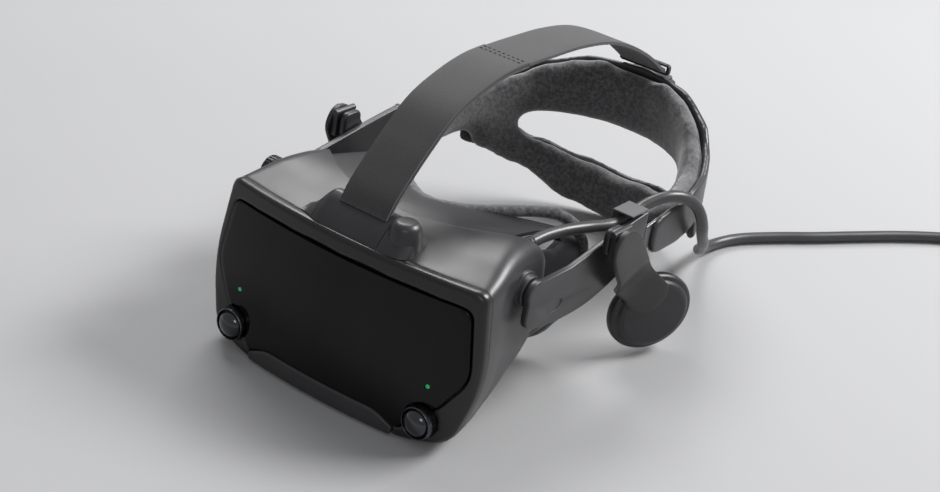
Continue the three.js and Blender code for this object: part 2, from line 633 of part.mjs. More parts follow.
// ---- Tether -----------------------------------------------------------------------------------
// The lead's middle line from the gland to its coil, in the frame of the table that it lies on.
const CORD_ROUTE = [
  [67, -70.6, 91.9], [67.7, -60, 91.9], [70.8, -45, 91.2], [76, -29, 89.6], [82.3, -16, 88.9],
  [84.3, -7, 88.9], [84.4, 2, 89.2], [84.6, 10.5, 90.1], [87.4, 20.5, 93], [92.3, 31, 94.6],
  [97, 41, 92.2], [100.6, 49.5, 86], [102.4, 56, 77], [101.8, 62, 67.5], [99, 69.5, 58],
  [95.8, 79, 48.5], [91, 90, 39.5], [84.5, 101.5, 30.5], [77.3, 114, 21.6], [71, 127.5, 13.7],
  [66.8, 141.5, 7.6], [66, 155, 4.4], [69, 168.5, 3.6], [75.3, 181, 3.6], [84, 192.5, 3.6],
  [94.5, 205, 3.6], [107.5, 219.5, 3.6], [129, 245.5, 3.6], [152, 272, 3.6], [176, 294, 3.6],
  [204, 309.5, 3.6], [235, 317.5, 3.6], [262, 319, 3.6], [276, 317.2, 3.6],
];

// The rest of the lead is wound in a ring; a hook-and-loop tie holds it and the plug lies on top.
const COIL = { x: 288, y: 254.5, inner: 29, outer: 58.4, high: 29, chamfer: 5 };
const TIE = { turn: 200, inner: 26.4, outer: 60.5, skin: 1.6, half: 6, high: 32.7 };
const PLUG = { turn: -20, reach: 44, wide: 14, high: 9, body: 24, relief: 20 };

function tetherCord() {
  const route = new THREE.CatmullRomCurve3(CORD_ROUTE.map(([x, y, z]) => point(x, y, z)));
  const section = new THREE.Shape(Array.from({ length: 8 }, (_, i) => {
    const turn = (i / 8) * Math.PI * 2;
    return new THREE.Vector2(Math.cos(turn), Math.sin(turn)).multiplyScalar(CORD_DIAMETER / 2);
  }));
  return new THREE.ExtrudeGeometry(section, { steps: 64, bevelEnabled: false, extrudePath: route });
}

function tetherCoil() {
  const { x, y, inner, outer, high, chamfer } = COIL;
  const corners = [[inner + chamfer, 0], [outer - chamfer, 0], [outer, chamfer], [outer, high - chamfer],
    [outer - chamfer, high], [inner + chamfer, high], [inner, high - chamfer], [inner, chamfer]];
  const closed = [...corners, corners[0]].map(([r, z]) => new THREE.Vector2(r, z));
  const ring = new THREE.LatheGeometry(closed, 40).rotateX(Math.PI / 2);
  const foot = box(TIE.inner - 1, TIE.outer + 1, -TIE.half - GAP, TIE.half + GAP, -1, TIE.skin + GAP);
  return cut(ring, foot.rotateZ(TIE.turn * RADIANS)).translate(x, y, 0);
}

function coilTie() {
  const { turn, inner, outer, skin, half, high } = TIE;
  const band = box(inner, outer, -half, half, 0, high);
  const hollow = box(inner + skin, outer - skin, -half - 1, half + 1, skin, high - skin);
  return cut(band, hollow).rotateZ(turn * RADIANS).translate(COIL.x, COIL.y, 0);
}

// Breakaway half-connector with its tapered relief; it lies along the coil's top.
function breakawayPlug() {
  const { turn, reach, wide, high, body, relief } = PLUG;
  const outline = new THREE.Shape(roundedLoop([[wide / 2, high / 2, 3], [wide / 2, -high / 2, 3],
    [-wide / 2, -high / 2, 3], [-wide / 2, high / 2, 3]]));
  const shell = new THREE.ExtrudeGeometry(outline, { depth: body, bevelEnabled: false }).rotateX(Math.PI / 2);
  const socket = box(-wide / 2 + 2.4, wide / 2 - 2.4, -body - 1, -body + 5, -high / 2 + 2.4, high / 2 - 2.4);
  const cone = [[0, 0], [CORD_DIAMETER / 2 + 0.4, 0], [high / 2 - 0.2, relief], [high / 2 - 0.2, relief + 1],
    [0, relief + 1]];
  const taper = new THREE.LatheGeometry(cone.map(([r, y]) => new THREE.Vector2(r, y)), 16)
    .rotateX(Math.PI).translate(0, relief, 0);
  return cut(join(shell, taper), socket).translate(reach, (body - relief) / 2, COIL.high + GAP + high / 2)
    .rotateZ(turn * RADIANS).translate(COIL.x, COIL.y, 0);
}

// ---- Assembly ---------------------------------------------------------------------------------
const FINISH = {
  shell: [0x2b2c2e, 0.42, 0],
  satin: [0x1f2022, 0.5, 0],
  gloss: [0x070709, 0.08, 0],
  glass: [0x11131a, 0.05, 0],
  metal: [0x8d8f92, 0.35, 0.9],
  light: [0x1f8a3c, 0.4, 0],
  cloth: [0x2f3032, 0.95, 0],
  foam: [0x3c3e40, 0.98, 0],
  board: [0x12462c, 0.6, 0],
  cord: [0x26272a, 0.55, 0],
};

const headset = new THREE.Group();
headset.rotation.x = -REST_PITCH * RADIANS;

function add(name, geometry, finish, group = headset) {
  const [color, roughness, metalness] = FINISH[finish];
  const material = new THREE.MeshStandardMaterial({ color, roughness, metalness });
  const mesh = new THREE.Mesh(welded(geometry), material);
  mesh.name = name;
  group.add(mesh);
  return mesh;
}

// Adds the wearer's left piece as drawn and its mirror image on the right.
function addPair(name, geometry, finish) {
  add(`left_${name}`, geometry, finish);
  add(`right_${name}`, mirrored(geometry), finish);
}

add('main_housing', mainHousing(), 'shell');
add('front_bezel', frontBezel(), 'satin');
add('faceplate', faceplate(), 'gloss');
add('lower_trim', lowerTrim(), 'shell');
add('strap_anchor', strapAnchor(), 'shell');
add('bay_tray', bayTray(), 'satin');
add('main_board', box(-52, 52, 13, 14.6, -26, 26), 'board');
[-1, 1].forEach((side) => {
  const name = side > 0 ? 'left' : 'right';
  const [x, z] = [side * CAMERA.x, CAMERA.z];
  add(`${name}_camera_ring`, cameraRing().translate(x, CAMERA.front, z), 'metal');
  add(`${name}_camera_lens`, cameraLens().translate(x, CAMERA.front, z), 'glass');
  add(`${name}_indicator`, indicator(side), 'light');
  add(`${name}_eyetube`, eyetube(side * EYE.x), 'satin');
  add(`${name}_display`, display(side * EYE.x), 'glass');
  add(`${name}_eye_lens`, eyeLens(side * EYE.x), 'glass');
});
addPair('hub_barrel', hubBarrel(), 'shell');
add('gasket_frame', gasketFrame(), 'satin');
add('face_gasket', faceGasket(), 'foam');
add('cable_gland', cableGland(), 'cord');
add('lens_carriage', lensCarriage(), 'satin');
add('relief_knob', reliefKnob(), 'satin');
add('ipd_slider', ipdSlider(), 'satin');
add('system_button', systemButton(), 'satin');
addPair('side_arm', sideArm(), 'shell');
addPair('hub_pin', hubPin(), 'metal');
addPair('slide_rail', rail(), 'metal');
add('cable_clip', cableClip(), 'shell');
add('top_strap_front', ribbon(0, STRAP_SPLIT, 4.2), 'cloth');
add('top_strap_rear', ribbon(STRAP_SPLIT + 1.5, 290, 2.6), 'cloth');
add('rear_shell', rearShell(), 'shell');
add('rear_pad', rearPad(), 'foam');
add('strap_buckle', strapBuckle(), 'satin');
add('adjuster_dial', adjusterDial(), 'satin');
add('dial_pinion', dialPinion(), 'metal');
addPair('speaker_mount', speakerMount(), 'shell');
addPair('stem_guide', stemGuide(), 'metal');
addPair('speaker_stem', speakerStem(), 'shell');
addPair('speaker_shell', speakerShell(), 'satin');
addPair('speaker_grille', speakerGrille(), 'foam');
addPair('speaker_driver', speakerDriver(), 'metal');

// Stands the headset on the table with its origin under the middle of its box.
headset.updateMatrixWorld(true);
const reach = new THREE.Box3().setFromObject(headset, true);
const middle = reach.getCenter(point());
headset.position.set(-middle.x, -middle.y, -reach.min.z);

const model = new THREE.Group();
model.add(headset);
add('tether_cord', tetherCord(), 'cord', model);
add('tether_coil', tetherCoil(), 'cord', model);
add('coil_tie', coilTie(), 'cloth', model);
add('breakaway_plug', breakawayPlug(), 'satin', model);
export default model;
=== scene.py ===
from math import atan2, copysign, cos, degrees, hypot, pi, radians, sin, sqrt, tan

import bmesh
import bpy
import numpy as np
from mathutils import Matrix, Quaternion, Vector
from numpy.linalg import norm


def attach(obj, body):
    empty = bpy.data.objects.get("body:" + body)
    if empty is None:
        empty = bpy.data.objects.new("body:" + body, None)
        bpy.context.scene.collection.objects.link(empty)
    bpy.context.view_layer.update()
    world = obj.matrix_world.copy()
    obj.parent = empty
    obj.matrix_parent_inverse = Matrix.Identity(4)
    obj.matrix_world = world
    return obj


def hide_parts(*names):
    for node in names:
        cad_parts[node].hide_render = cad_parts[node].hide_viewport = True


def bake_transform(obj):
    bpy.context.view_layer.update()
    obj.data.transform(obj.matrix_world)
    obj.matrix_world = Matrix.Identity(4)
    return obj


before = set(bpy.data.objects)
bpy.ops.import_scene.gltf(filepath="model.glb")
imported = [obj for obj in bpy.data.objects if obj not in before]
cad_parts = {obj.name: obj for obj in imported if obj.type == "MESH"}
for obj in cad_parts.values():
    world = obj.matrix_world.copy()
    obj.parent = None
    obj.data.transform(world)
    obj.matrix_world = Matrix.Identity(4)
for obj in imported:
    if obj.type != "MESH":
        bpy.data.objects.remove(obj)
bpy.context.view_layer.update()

PITCH = radians(3.3)
SHIFT = np.array([0.0, -143.456, 49.405])
MM = 0.001
SIDES = (("left", 1), ("right", -1))


def spun(a, b, angle):
    """The pair (a, b) turned by angle."""
    return a * cos(angle) - b * sin(angle), a * sin(angle) + b * cos(angle)


def place(points):
    """Visor-frame millimetres to table-frame metres."""
    p = np.asarray(points, float).reshape(-1, 3)
    y, z = spun(p[:, 1], p[:, 2], -PITCH)
    return (np.c_[p[:, 0], y, z] + SHIFT) * MM


# ---- Camera ----
def aim_camera():
    eye = Vector((0.530, -0.8318, 0.5758))
    azimuth, elevation, roll = (radians(v) for v in (33.43, 28.88, 7.32))
    ahead = Vector((
        -sin(azimuth) * cos(elevation),
        cos(azimuth) * cos(elevation),
        -sin(elevation),
    ))
    data = bpy.data.cameras.new("camera")
    data.sensor_width, data.lens = 36.0, 71.46
    camera = bpy.data.objects.new("camera", data)
    bpy.context.collection.objects.link(camera)
    camera.location = eye
    camera.rotation_mode = "QUATERNION"
    camera.rotation_quaternion = Quaternion(ahead, -roll) @ ahead.to_track_quat("-Z", "Y")
    bpy.context.scene.camera = camera


aim_camera()


# ---- Shape helpers ----
def make(name, points, faces, placed=False):
    """A mesh object of points in the visor frame, or in the table frame if they are already placed."""
    mesh = bpy.data.meshes.new(name)
    where = np.asarray(points, float) if placed else place(points)
    mesh.from_pydata(where.tolist(), [], [list(f) for f in faces])
    obj = bpy.data.objects.new(name, mesh)
    bpy.context.collection.objects.link(obj)
    edit = bmesh.new()
    edit.from_mesh(mesh)
    bmesh.ops.remove_doubles(edit, verts=edit.verts, dist=1e-6)
    bmesh.ops.recalc_face_normals(edit, faces=edit.faces)
    edit.to_mesh(mesh)
    edit.free()
    return obj


def bake(obj):
    """Applies every modifier on obj."""
    graph = bpy.context.evaluated_depsgraph_get()
    old = obj.data
    new = bpy.data.meshes.new_from_object(obj.evaluated_get(graph))
    obj.modifiers.clear()
    obj.data = new
    bpy.data.meshes.remove(old)


def modify(obj, kind, **settings):
    modifier = obj.modifiers.new(kind.lower(), kind)
    for key, value in settings.items():
        setattr(modifier, key, value)
    return modifier


def soften(obj, width, angle=40, segments=3):
    """Rounds the sharp edges of obj by width millimetres."""
    modify(obj, "BEVEL", width=width * MM, segments=segments, limit_method="ANGLE",
           angle_limit=radians(angle), use_clamp_overlap=True)
    bake(obj)


def carve(obj, *tools):
    """Cuts the tools out of obj and removes them."""
    for tool in tools:
        modify(obj, "BOOLEAN", operation="DIFFERENCE", object=tool, solver="EXACT")
        bake(obj)
    for tool in tools:
        bpy.data.objects.remove(tool)


def shade(obj, angle=38):
    obj.data.polygons.foreach_set("use_smooth", [True] * len(obj.data.polygons))
    obj.data.set_sharp_from_angle(angle=radians(angle))


def dress(obj, body, material, nodes=(), angle=38):
    """Gives a finished piece its material and its body, and hides the CAD nodes that it stands for."""
    obj.data.materials.clear()
    obj.data.materials.append(material)
    shade(obj, angle)
    if nodes:
        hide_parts(*nodes)
    if body:
        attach(obj, body)
    return obj


def skin(name, rings, closed=False, placed=False):
    """A mesh object over equal rings; a skin that isn't closed gets a face at each end."""
    rings = np.asarray(rings, float)
    m, n = rings.shape[:2]
    faces = []
    for i in range(m if closed else m - 1):
        for j in range(n):
            a, b = i * n + j, i * n + (j + 1) % n
            c, d = ((i + 1) % m) * n + (j + 1) % n, ((i + 1) % m) * n + j
            faces.append((a, b, c, d))
    if not closed:
        faces.append(tuple(range(n)))
        faces.append(tuple(range((m - 1) * n, m * n)))
    return make(name, rings.reshape(-1, 3), faces, placed)


def toward(here, other, reach):
    """The point reach away from here, on the way to the other point."""
    gap = other - here
    return here + gap / norm(gap) * reach


def corner_curve(start, here, end, count):
    """A short curve from start to end that turns at here."""
    return [start * (1 - t) ** 2 + 2 * here * t * (1 - t) + end * t * t for t in np.linspace(0, 1, count)]


def rounded(corners, per_corner=8, per_side=1):
    """Closed outline through corners (a, b, reach), each turned by a short curve."""
    made = []
    corners = np.asarray(corners, float)
    for i, corner in enumerate(corners):
        here, reach = corner[:2], corner[2]
        before, onward = corners[i - 1], corners[(i + 1) % len(corners)]
        end = toward(here, onward[:2], reach)
        made += corner_curve(toward(here, before[:2], reach), here, end, per_corner + 1)
        there = toward(onward[:2], here, onward[2])
        for k in range(1, per_side):
            made.append(end + (there - end) * k / per_side)
    return np.array(made)


def both_sides(corners):
    """Corners and their mirror images, as one loop."""
    return list(corners) + [(-x, z, r) for x, z, r in reversed(corners)]


def spaced(points, count):
    """The same open line with evenly spaced points."""
    points = np.asarray(points, float)
    run = np.r_[0, np.cumsum(norm(np.diff(points, axis=0), axis=1))]
    at = np.linspace(0, run[-1], count)
    return np.stack([np.interp(at, run, points[:, k]) for k in range(points.shape[1])], axis=1)


def cubic(t, start, end, leaving, arriving, span):
    """Hermite curve between two values with given slopes over a span."""
    return ((2 * t**3 - 3 * t**2 + 1) * start + (t**3 - 2 * t**2 + t) * leaving * span
            + (3 * t**2 - 2 * t**3) * end + (t**3 - t**2) * arriving * span)


def smooth_line(points, between=12):
    """Centripetal Catmull-Rom line through points."""
    p = np.asarray(points, float)
    p = np.vstack([2 * p[0] - p[1], p, 2 * p[-1] - p[-2]])
    made = []
    for i in range(1, len(p) - 2):
        gaps = [norm(p[i + k] - p[i + k - 1]) ** 0.5 for k in range(3)]
        slopes = []
        for k in (0, 1):
            before, here, after = p[i + k - 1:i + k + 2]
            near, far = gaps[k:k + 2]
            slopes.append((here - before) / near - (after - before) / (near + far) + (after - here) / far)
        for t in np.linspace(0, 1, between, endpoint=False):
            made.append(cubic(t, p[i], p[i + 1], slopes[0], slopes[1], gaps[1]))
    made.append(p[-2])
    return np.array(made)


def eased(table, value):
    """Reads a short table of (input, output) pairs with smooth steps between them."""
    if value <= table[0][0]:
        return table[0][1]
    for (x0, y0), (x1, y1) in zip(table, table[1:]):
        if value <= x1:
            t = (value - x0) / (x1 - x0)
            return y0 + (y1 - y0) * t * t * (3 - 2 * t)
    return table[-1][1]


def hermite(knots, values, at):
    """Smooth reading of values (one row per knot) at a position."""
    knots, values = np.asarray(knots, float), np.asarray(values, float)
    slopes = np.gradient(values, knots, axis=0)
    i = int(np.clip(np.searchsorted(knots, at) - 1, 0, len(knots) - 2))
    span = knots[i + 1] - knots[i]
    t = np.clip((at - knots[i]) / span, 0, 1)
    return cubic(t, values[i], values[i + 1], slopes[i], slopes[i + 1], span)


def filleted(profile, radius, steps=5):
    """An open profile with each inner corner rounded."""
    profile = np.asarray(profile, float)
    made = [profile[0]]
    for before, here, after in zip(profile, profile[1:], profile[2:]):
        reach = min(radius, 0.45 * norm(before - here), 0.45 * norm(after - here))
        made += corner_curve(toward(here, before, reach), here, toward(here, after, reach), steps)
    made.append(profile[-1])
    return np.array(made)


AXES = {"x": (2, 0, 1), "y": (0, 2, 1), "z": (0, 1, 2)}    # how (across, across, along) become x, y and z


def full_turn(count):
    return np.linspace(0, 2 * pi, count, endpoint=False)


def quarter_turn(count):
    return np.linspace(0, pi / 2, count)


def lathe(name, profile, centre, axis="y", sides=96, ripple=None, warp=None, closed=False):
    """Turns (radius, height) pairs about an axis through centre; an open profile ends on the axis."""
    angles = full_turn(sides)
    rows = []
    for radius, height in profile:
        reach = np.full(sides, max(radius, 1e-4))
        if ripple is not None:
            reach = reach - ripple(angles, radius, height)
        flat = np.c_[reach * np.cos(angles), reach * np.sin(angles), np.full(sides, height)]
        rows.append(flat[:, AXES[axis]] + np.asarray(centre, float))
    rows = np.array(rows)
    if warp is not None:
        rows = warp(rows.reshape(-1, 3)).reshape(rows.shape)
    return skin(name, rows, closed)


def normals(outline):
    """Outward directions along a closed outline."""
    tangent = np.roll(outline, -1, axis=0) - np.roll(outline, 1, axis=0)
    normal = np.c_[tangent[:, 1], -tangent[:, 0]]
    normal /= np.maximum(norm(normal, axis=1), 1e-9)[:, None]
    area = np.sum(outline[:, 0] * np.roll(outline[:, 1], -1) - np.roll(outline[:, 0], -1) * outline[:, 1])
    return normal * copysign(1, area)


def rectangle(a0, a1, b0, b1, reach, per_corner=8, per_side=1):
    """Outline of a rectangle; reach is how far its corners are rounded, or (low corners, high corners)."""
    low, high = reach if isinstance(reach, tuple) else (reach, reach)
    return rounded([(a0, b0, low), (a1, b0, low), (a1, b1, high), (a0, b1, high)], per_corner, per_side)


def split(here, onward, pieces):
    """The start of each of some equal pieces between two points."""
    return [tuple(a + (b - a) * k / pieces for a, b in zip(here, onward)) for k in range(pieces)]


def grooves(count, depth, rim, start=-999, stop=999):
    """Ripple of a grooved rim, for lathe()."""
    def ripple(angles, radius, along):
        return depth * (np.cos(angles * count) > 0.2) * (radius > rim and start < along < stop)
    return ripple


def slab(name, outline, low, high, edge, axis="x"):
    """A plate of a closed outline with rounded edges; axis is the direction of its thickness."""
    outline = np.asarray(outline, float)
    normal = normals(outline)
    turns = quarter_turn(5)
    section = [(edge * (1 - sin(t)), low + edge * (1 - cos(t))) for t in turns]
    section += [(edge * (1 - sin(t)), high - edge * (1 - cos(t))) for t in turns[::-1]]
    rows = []
    for inset, level in section:
        flat = np.c_[outline - normal * inset, np.full(len(outline), level)]
        rows.append(flat[:, AXES[axis]])
    return skin(name, rows)


def block(name, x0, x1, y0, y1, z0, z1):
    corners = [(x, y, z) for x in (x0, x1) for y in (y0, y1) for z in (z0, z1)]
    faces = [(0, 1, 3, 2), (4, 6, 7, 5), (0, 4, 5, 1), (2, 3, 7, 6), (0, 2, 6, 4), (1, 5, 7, 3)]
    return make(name, corners, faces)


def rod(name, radius, y0, y1, x, z, sides=64):
    return lathe(name, [(0, y0), (radius, y0), (radius, y1), (0, y1)], (x, 0, z), "y", sides)


def joined(name, *parts):
    """One object holding several closed shells."""
    points, faces = [], []
    for part in parts:
        start = len(points)
        points += [tuple(v.co) for v in part.data.vertices]
        faces += [[start + k for k in f.vertices] for f in part.data.polygons]
        bpy.data.objects.remove(part)
    return make(name, points, faces, placed=True)


# ---- Materials ----
class Paint:
    """A node material in the making; its grain is read from the piece's own coordinates."""

    def __init__(self, name, colour, roughness, metallic=0.0):
        self.material = bpy.data.materials.new(name)
        self.material.use_nodes = True
        self.tree = self.material.node_tree
        self.shader = self.tree.nodes["Principled BSDF"]
        self.finish(Base_Color=(*colour, 1), Roughness=roughness, Metallic=metallic)
        self.where = self.add("TexCoord").outputs["Object"]

    def feed(self, node, key, value):
        """Gives an input of a node a link or a value."""
        if isinstance(value, bpy.types.NodeSocket):
            self.tree.links.new(value, node.inputs[key])
        else:
            node.inputs[key].default_value = value

    def add(self, kind, **settings):
        """Adds a node; settings name its properties or its inputs."""
        node = self.tree.nodes.new("ShaderNode" + kind)
        for key, value in settings.items():
            if hasattr(node, key):
                setattr(node, key, value)
            else:
                self.feed(node, key.replace("_", " "), value)
        return node

    def finish(self, **inputs):
        """Sets inputs of the surface shader."""
        for key, value in inputs.items():
            self.feed(self.shader, key.replace("_", " "), value)

    def noise(self, scale, detail=3.0, stretch=(1, 1, 1)):
        mapped = self.add("Mapping", Vector=self.where, Scale=stretch).outputs[0]
        return self.add("TexNoise", Vector=mapped, Scale=scale, Detail=detail).outputs[0]

    def ranged(self, value, low, high, from_low=0.3, from_high=0.7):
        limits = {"From_Min": from_low, "From_Max": from_high, "To_Min": low, "To_Max": high}
        return self.add("MapRange", Value=value, **limits).outputs[0]

    def blended(self, share, dark, light):
        node = self.add("Mix", data_type="RGBA")
        for index, value in ((0, share), (6, dark), (7, light)):
            self.feed(node, index, (*value, 1) if isinstance(value, tuple) else value)
        return node.outputs[2]

    def maths(self, operation, *values):
        node = self.add("Math", operation=operation)
        for index, value in enumerate(values):
            self.feed(node, index, value)
        return node.outputs[0]

    def bumped(self, height, strength, distance, **before):
        node = self.add("Bump", Height=height, Strength=strength, Distance=distance, **before)
        self.finish(Normal=node.outputs[0])
        return node.outputs[0]


def scaled(colour, factor):
    return tuple(c * factor for c in colour)


def plastic(name, colour, roughness, grain=1400, bump=0.12, wear=0.5):
    """Moulded plastic: fine spark grain, uneven sheen and slightly rubbed edges."""
    paint = Paint(name, colour, roughness)
    fine, broad = paint.noise(grain, 2.0), paint.noise(28, 4.0)
    edge = paint.add("NewGeometry").outputs["Pointiness"]
    rubbed = paint.ranged(edge, 0.0, wear, 0.51, 0.6)
    tone = paint.blended(paint.ranged(broad, 0.0, 1.0), scaled(colour, 0.88), scaled(colour, 1.12))
    light = tuple(min(1, c * 2.4 + 0.02) for c in colour)
    paint.finish(Base_Color=paint.blended(rubbed, tone, light))
    paint.finish(Roughness=paint.ranged(broad, roughness - 0.05, roughness + 0.07))
    paint.bumped(fine, bump, 0.00012)
    return paint.material


def gloss_plate(name):
    """Polished tinted plate with faint smears in its gloss."""
    paint = Paint(name, (0.003, 0.003, 0.004), 0.05)
    smear = paint.noise(35, 6.0, (1, 1, 0.35))
    paint.finish(Roughness=paint.ranged(smear, 0.035, 0.11), IOR=1.30)
    tint = paint.blended(paint.ranged(smear, 0, 1), (0.002, 0.002, 0.003), (0.005, 0.005, 0.006))
    paint.finish(Base_Color=tint)
    paint.bumped(paint.noise(9, 2.0), 0.02, 0.0004)
    return paint.material


def metal(name, colour, roughness):
    """Brushed metal, its grain drawn out in one direction."""
    paint = Paint(name, colour, roughness, 1.0)
    grain = paint.noise(220, 3.0, (1, 1, 40))
    paint.finish(Roughness=paint.ranged(grain, roughness - 0.08, roughness + 0.12))
    paint.finish(Base_Color=paint.blended(paint.ranged(grain, 0, 1), scaled(colour, 0.8), colour))
    paint.bumped(grain, 0.08, 0.0001)
    return paint.material


def knit(name, dark, light, flecks):
    """Heathered knit over foam: mottled yarn colours, tiny loops and a soft sheen."""
    paint = Paint(name, dark, 0.95)
    mottle, patches = paint.noise(flecks, 5.0), paint.noise(420, 2.0)
    loops = paint.add("TexVoronoi", Vector=paint.where, Scale=1500).outputs["Distance"]
    share = paint.ranged(paint.maths("ADD", mottle, patches), 0.0, 1.0, 0.86, 1.2)
    paint.finish(Base_Color=paint.blended(share, dark, light), Sheen_Weight=0.6, Sheen_Roughness=0.5)
    soft = paint.bumped(loops, 0.5, 0.0003)
    paint.bumped(mottle, 0.35, 0.0005, Normal=soft)
    return paint.material


def webbing(name, dark, light):
    """Woven strap: ribs across and picks along it, read from the strap's own mesh coordinates."""
    paint = Paint(name, dark, 0.85)
    where = paint.add("UVMap", uv_map="weave").outputs[0]
    ribs = []
    for axis in "XY":
        wave = paint.add("TexWave", Vector=where, bands_direction=axis, Scale=0.42, Distortion=0.3)
        ribs.append(wave.outputs[1])
    weave = paint.maths("MULTIPLY", *ribs)
    fuzz = paint.add("TexNoise", Vector=where, Scale=1.2, Detail=5.0).outputs[0]
    paint.finish(Base_Color=paint.blended(paint.ranged(fuzz, 0, 1), dark, light), Sheen_Weight=0.25)
    soft = paint.bumped(weave, 0.4, 0.0003)
    paint.bumped(fuzz, 0.4, 0.0003, Normal=soft)
    return paint.material


def optic(name, colour, rings=False, see_through=0.0):
    """Slightly dusty glass; rings are the steps of an eye lens."""
    paint = Paint(name, colour, 0.03)
    paint.finish(Transmission_Weight=see_through, Coat_Weight=0.8)
    paint.finish(Roughness=paint.ranged(paint.noise(900, 2.0), 0.02, 0.09))
    if rings:
        steps = {"wave_type": "RINGS", "rings_direction": "Y", "Scale": 260}
        paint.bumped(paint.add("TexWave", Vector=paint.where, **steps).outputs[1], 0.25, 0.0002)
    return paint.material


def glow(name, colour):
    paint = Paint(name, colour, 0.3)
    paint.finish(Emission_Color=(*colour, 1), Emission_Strength=paint.ranged(paint.noise(1800), 0.12, 0.45))
    return paint.material


def circuit(name):
    """Circuit board with a grid of bright tracks."""
    paint = Paint(name, (0.01, 0.09, 0.04), 0.35)
    tracks = paint.add("TexBrick", Vector=paint.where, Scale=90, Mortar_Size=0.06,
                       Mortar=(0.25, 0.16, 0.05, 1), Color1=(0.008, 0.08, 0.035, 1),
                       Color2=(0.012, 0.11, 0.05, 1))
    paint.finish(Base_Color=tracks.outputs["Color"])
    paint.bumped(tracks.outputs["Fac"], 0.3, 0.0002)
    return paint.material


def floor_paint(name):
    paint = Paint(name, (0.37, 0.37, 0.375), 0.7)
    paint.finish(Roughness=paint.ranged(paint.noise(3, 4.0), 0.62, 0.78))
    return paint.material


SHELL = plastic("shell_plastic", (0.026, 0.026, 0.028), 0.36, wear=0.25)
BAND = plastic("bezel_plastic", (0.008, 0.008, 0.009), 0.31, wear=0.35)
SATIN = plastic("dark_plastic", (0.014, 0.014, 0.016), 0.42, wear=0.25)
MATTE = plastic("stem_plastic", (0.018, 0.018, 0.019), 0.46, 900, 0.2, 0.25)
GLOSS = gloss_plate("tinted_plate")
STEEL = metal("rail_metal", (0.16, 0.16, 0.17), 0.34)
RING = metal("ring_metal", (0.10, 0.10, 0.11), 0.24)
FOAM = knit("heather_knit", (0.034, 0.034, 0.036), (0.105, 0.105, 0.109), 1650)
MESH_CLOTH = knit("speaker_cloth", (0.055, 0.055, 0.058), (0.15, 0.15, 0.155), 1400)
STRAP = webbing("strap_webbing", (0.022, 0.022, 0.024), (0.040, 0.040, 0.042))
TAPE = webbing("tie_tape", (0.02, 0.02, 0.022), (0.04, 0.04, 0.043))
LENS = optic("camera_glass", (0.006, 0.007, 0.012))
EYE_GLASS = optic("eye_glass", (0.55, 0.58, 0.62), rings=True, see_through=0.9)
PANEL = optic("panel_glass", (0.010, 0.010, 0.014))
LIGHT = glow("status_light", (0.02, 0.35, 0.10))
BOARD = circuit("circuit_board")
# Soft tab plastic, much lighter grey than the shell: part of this lightness is painted light, standing in
# for light falling on the tab's top.
TAB_PAINTED_LIT = plastic("soft_tab", (0.085, 0.085, 0.088), 0.55, 700, 0.35, 0.2)
JACKET = plastic("cord_jacket", (0.046, 0.046, 0.048), 0.36, 1600, 0.06, 0.0)
TAPE_THREAD = plastic("thread", (0.06, 0.06, 0.063), 0.8, 2500, 0.4, 0.2)


# ---- Visor ----
BOW_TOP, BOW_LOW, BOW_SQUARE = -9.0, -17.0, 0.00116
FRONT_OUTLINE = [(88, 46, 7), (95, -6, 20), (84, -43, 9), (58, -49.8, 10)]
PLATE_CORNERS = [(82, 35, 6), (88.6, -3, 8), (75, -23.5, 4), (53, -44.2, 3), (39, -38.4, 5)]
# Cross-sections of the housing: depth, corners (x, z, reach) of one half, and share of the front's bow.
HOUSING_FRONT = 6.3
HOUSING_ROWS = [
    (HOUSING_FRONT, FRONT_OUTLINE, 1),
    (16, [(87, 49, 10), (92, -6, 20), (82, -42.4, 10), (57, -48.6, 10)], 0.6),
    (28, [(85, 53, 13), (87.6, -6, 20), (79, -40.5, 12), (55, -47.8, 10)], 0.25),
    (42, [(82, 55, 14), (84.4, -4, 20), (75.5, -37.5, 13), (51, -46.8, 10)], 0),
    (58, [(79, 54, 14), (81.4, -2, 20), (71, -33, 14), (46, -44, 10)], 0),
    (76, [(77, 50, 14), (79, 0, 20), (68, -29, 14), (42, -40, 10)], 0),
]
CAMERA_X, CAMERA_Z, CAMERA_FRONT = 67, -34.5, -16.5
LENS_X, LENS_Z, LENS_RADIUS = 32, 2, 21
FRONT_HOLE = (56, 30, -1)    # half width, half height and middle height
BEZEL_DEPTH, WALL, REAR_CENTRE, REAR_RADIUS = 6.0, 2.2, 127, 97
LIGHT_X, LIGHT_Z = 67, -14
HUB_Y, HUB_Z = 43, 34
GLAND_X, GLAND_Z, GLAND_START, GLAND_LENGTH = 67, 46.6, 50, 20


def bow(x, z):
    return BOW_TOP + (BOW_LOW - BOW_TOP) * (46 - z) / 92 + BOW_SQUARE * x * x


def bowed(flat, depth):
    """Rows (x, z) at one depth behind the bowed front."""
    return np.c_[flat[:, 0], depth + bow(flat[:, 0], flat[:, 1]), flat[:, 1]]


def grown(corners, by):
    return [(x + by, z + by * copysign(1, z), reach) for x, z, reach in corners]


def radius_at(loop, angles):
    """How far a star-shaped loop reaches at each angle."""
    turn = np.arctan2(loop[:, 1], loop[:, 0])
    order = np.argsort(turn)
    turn, reach = turn[order], norm(loop, axis=1)[order]
    return np.interp(angles, turn, reach, period=2 * pi)


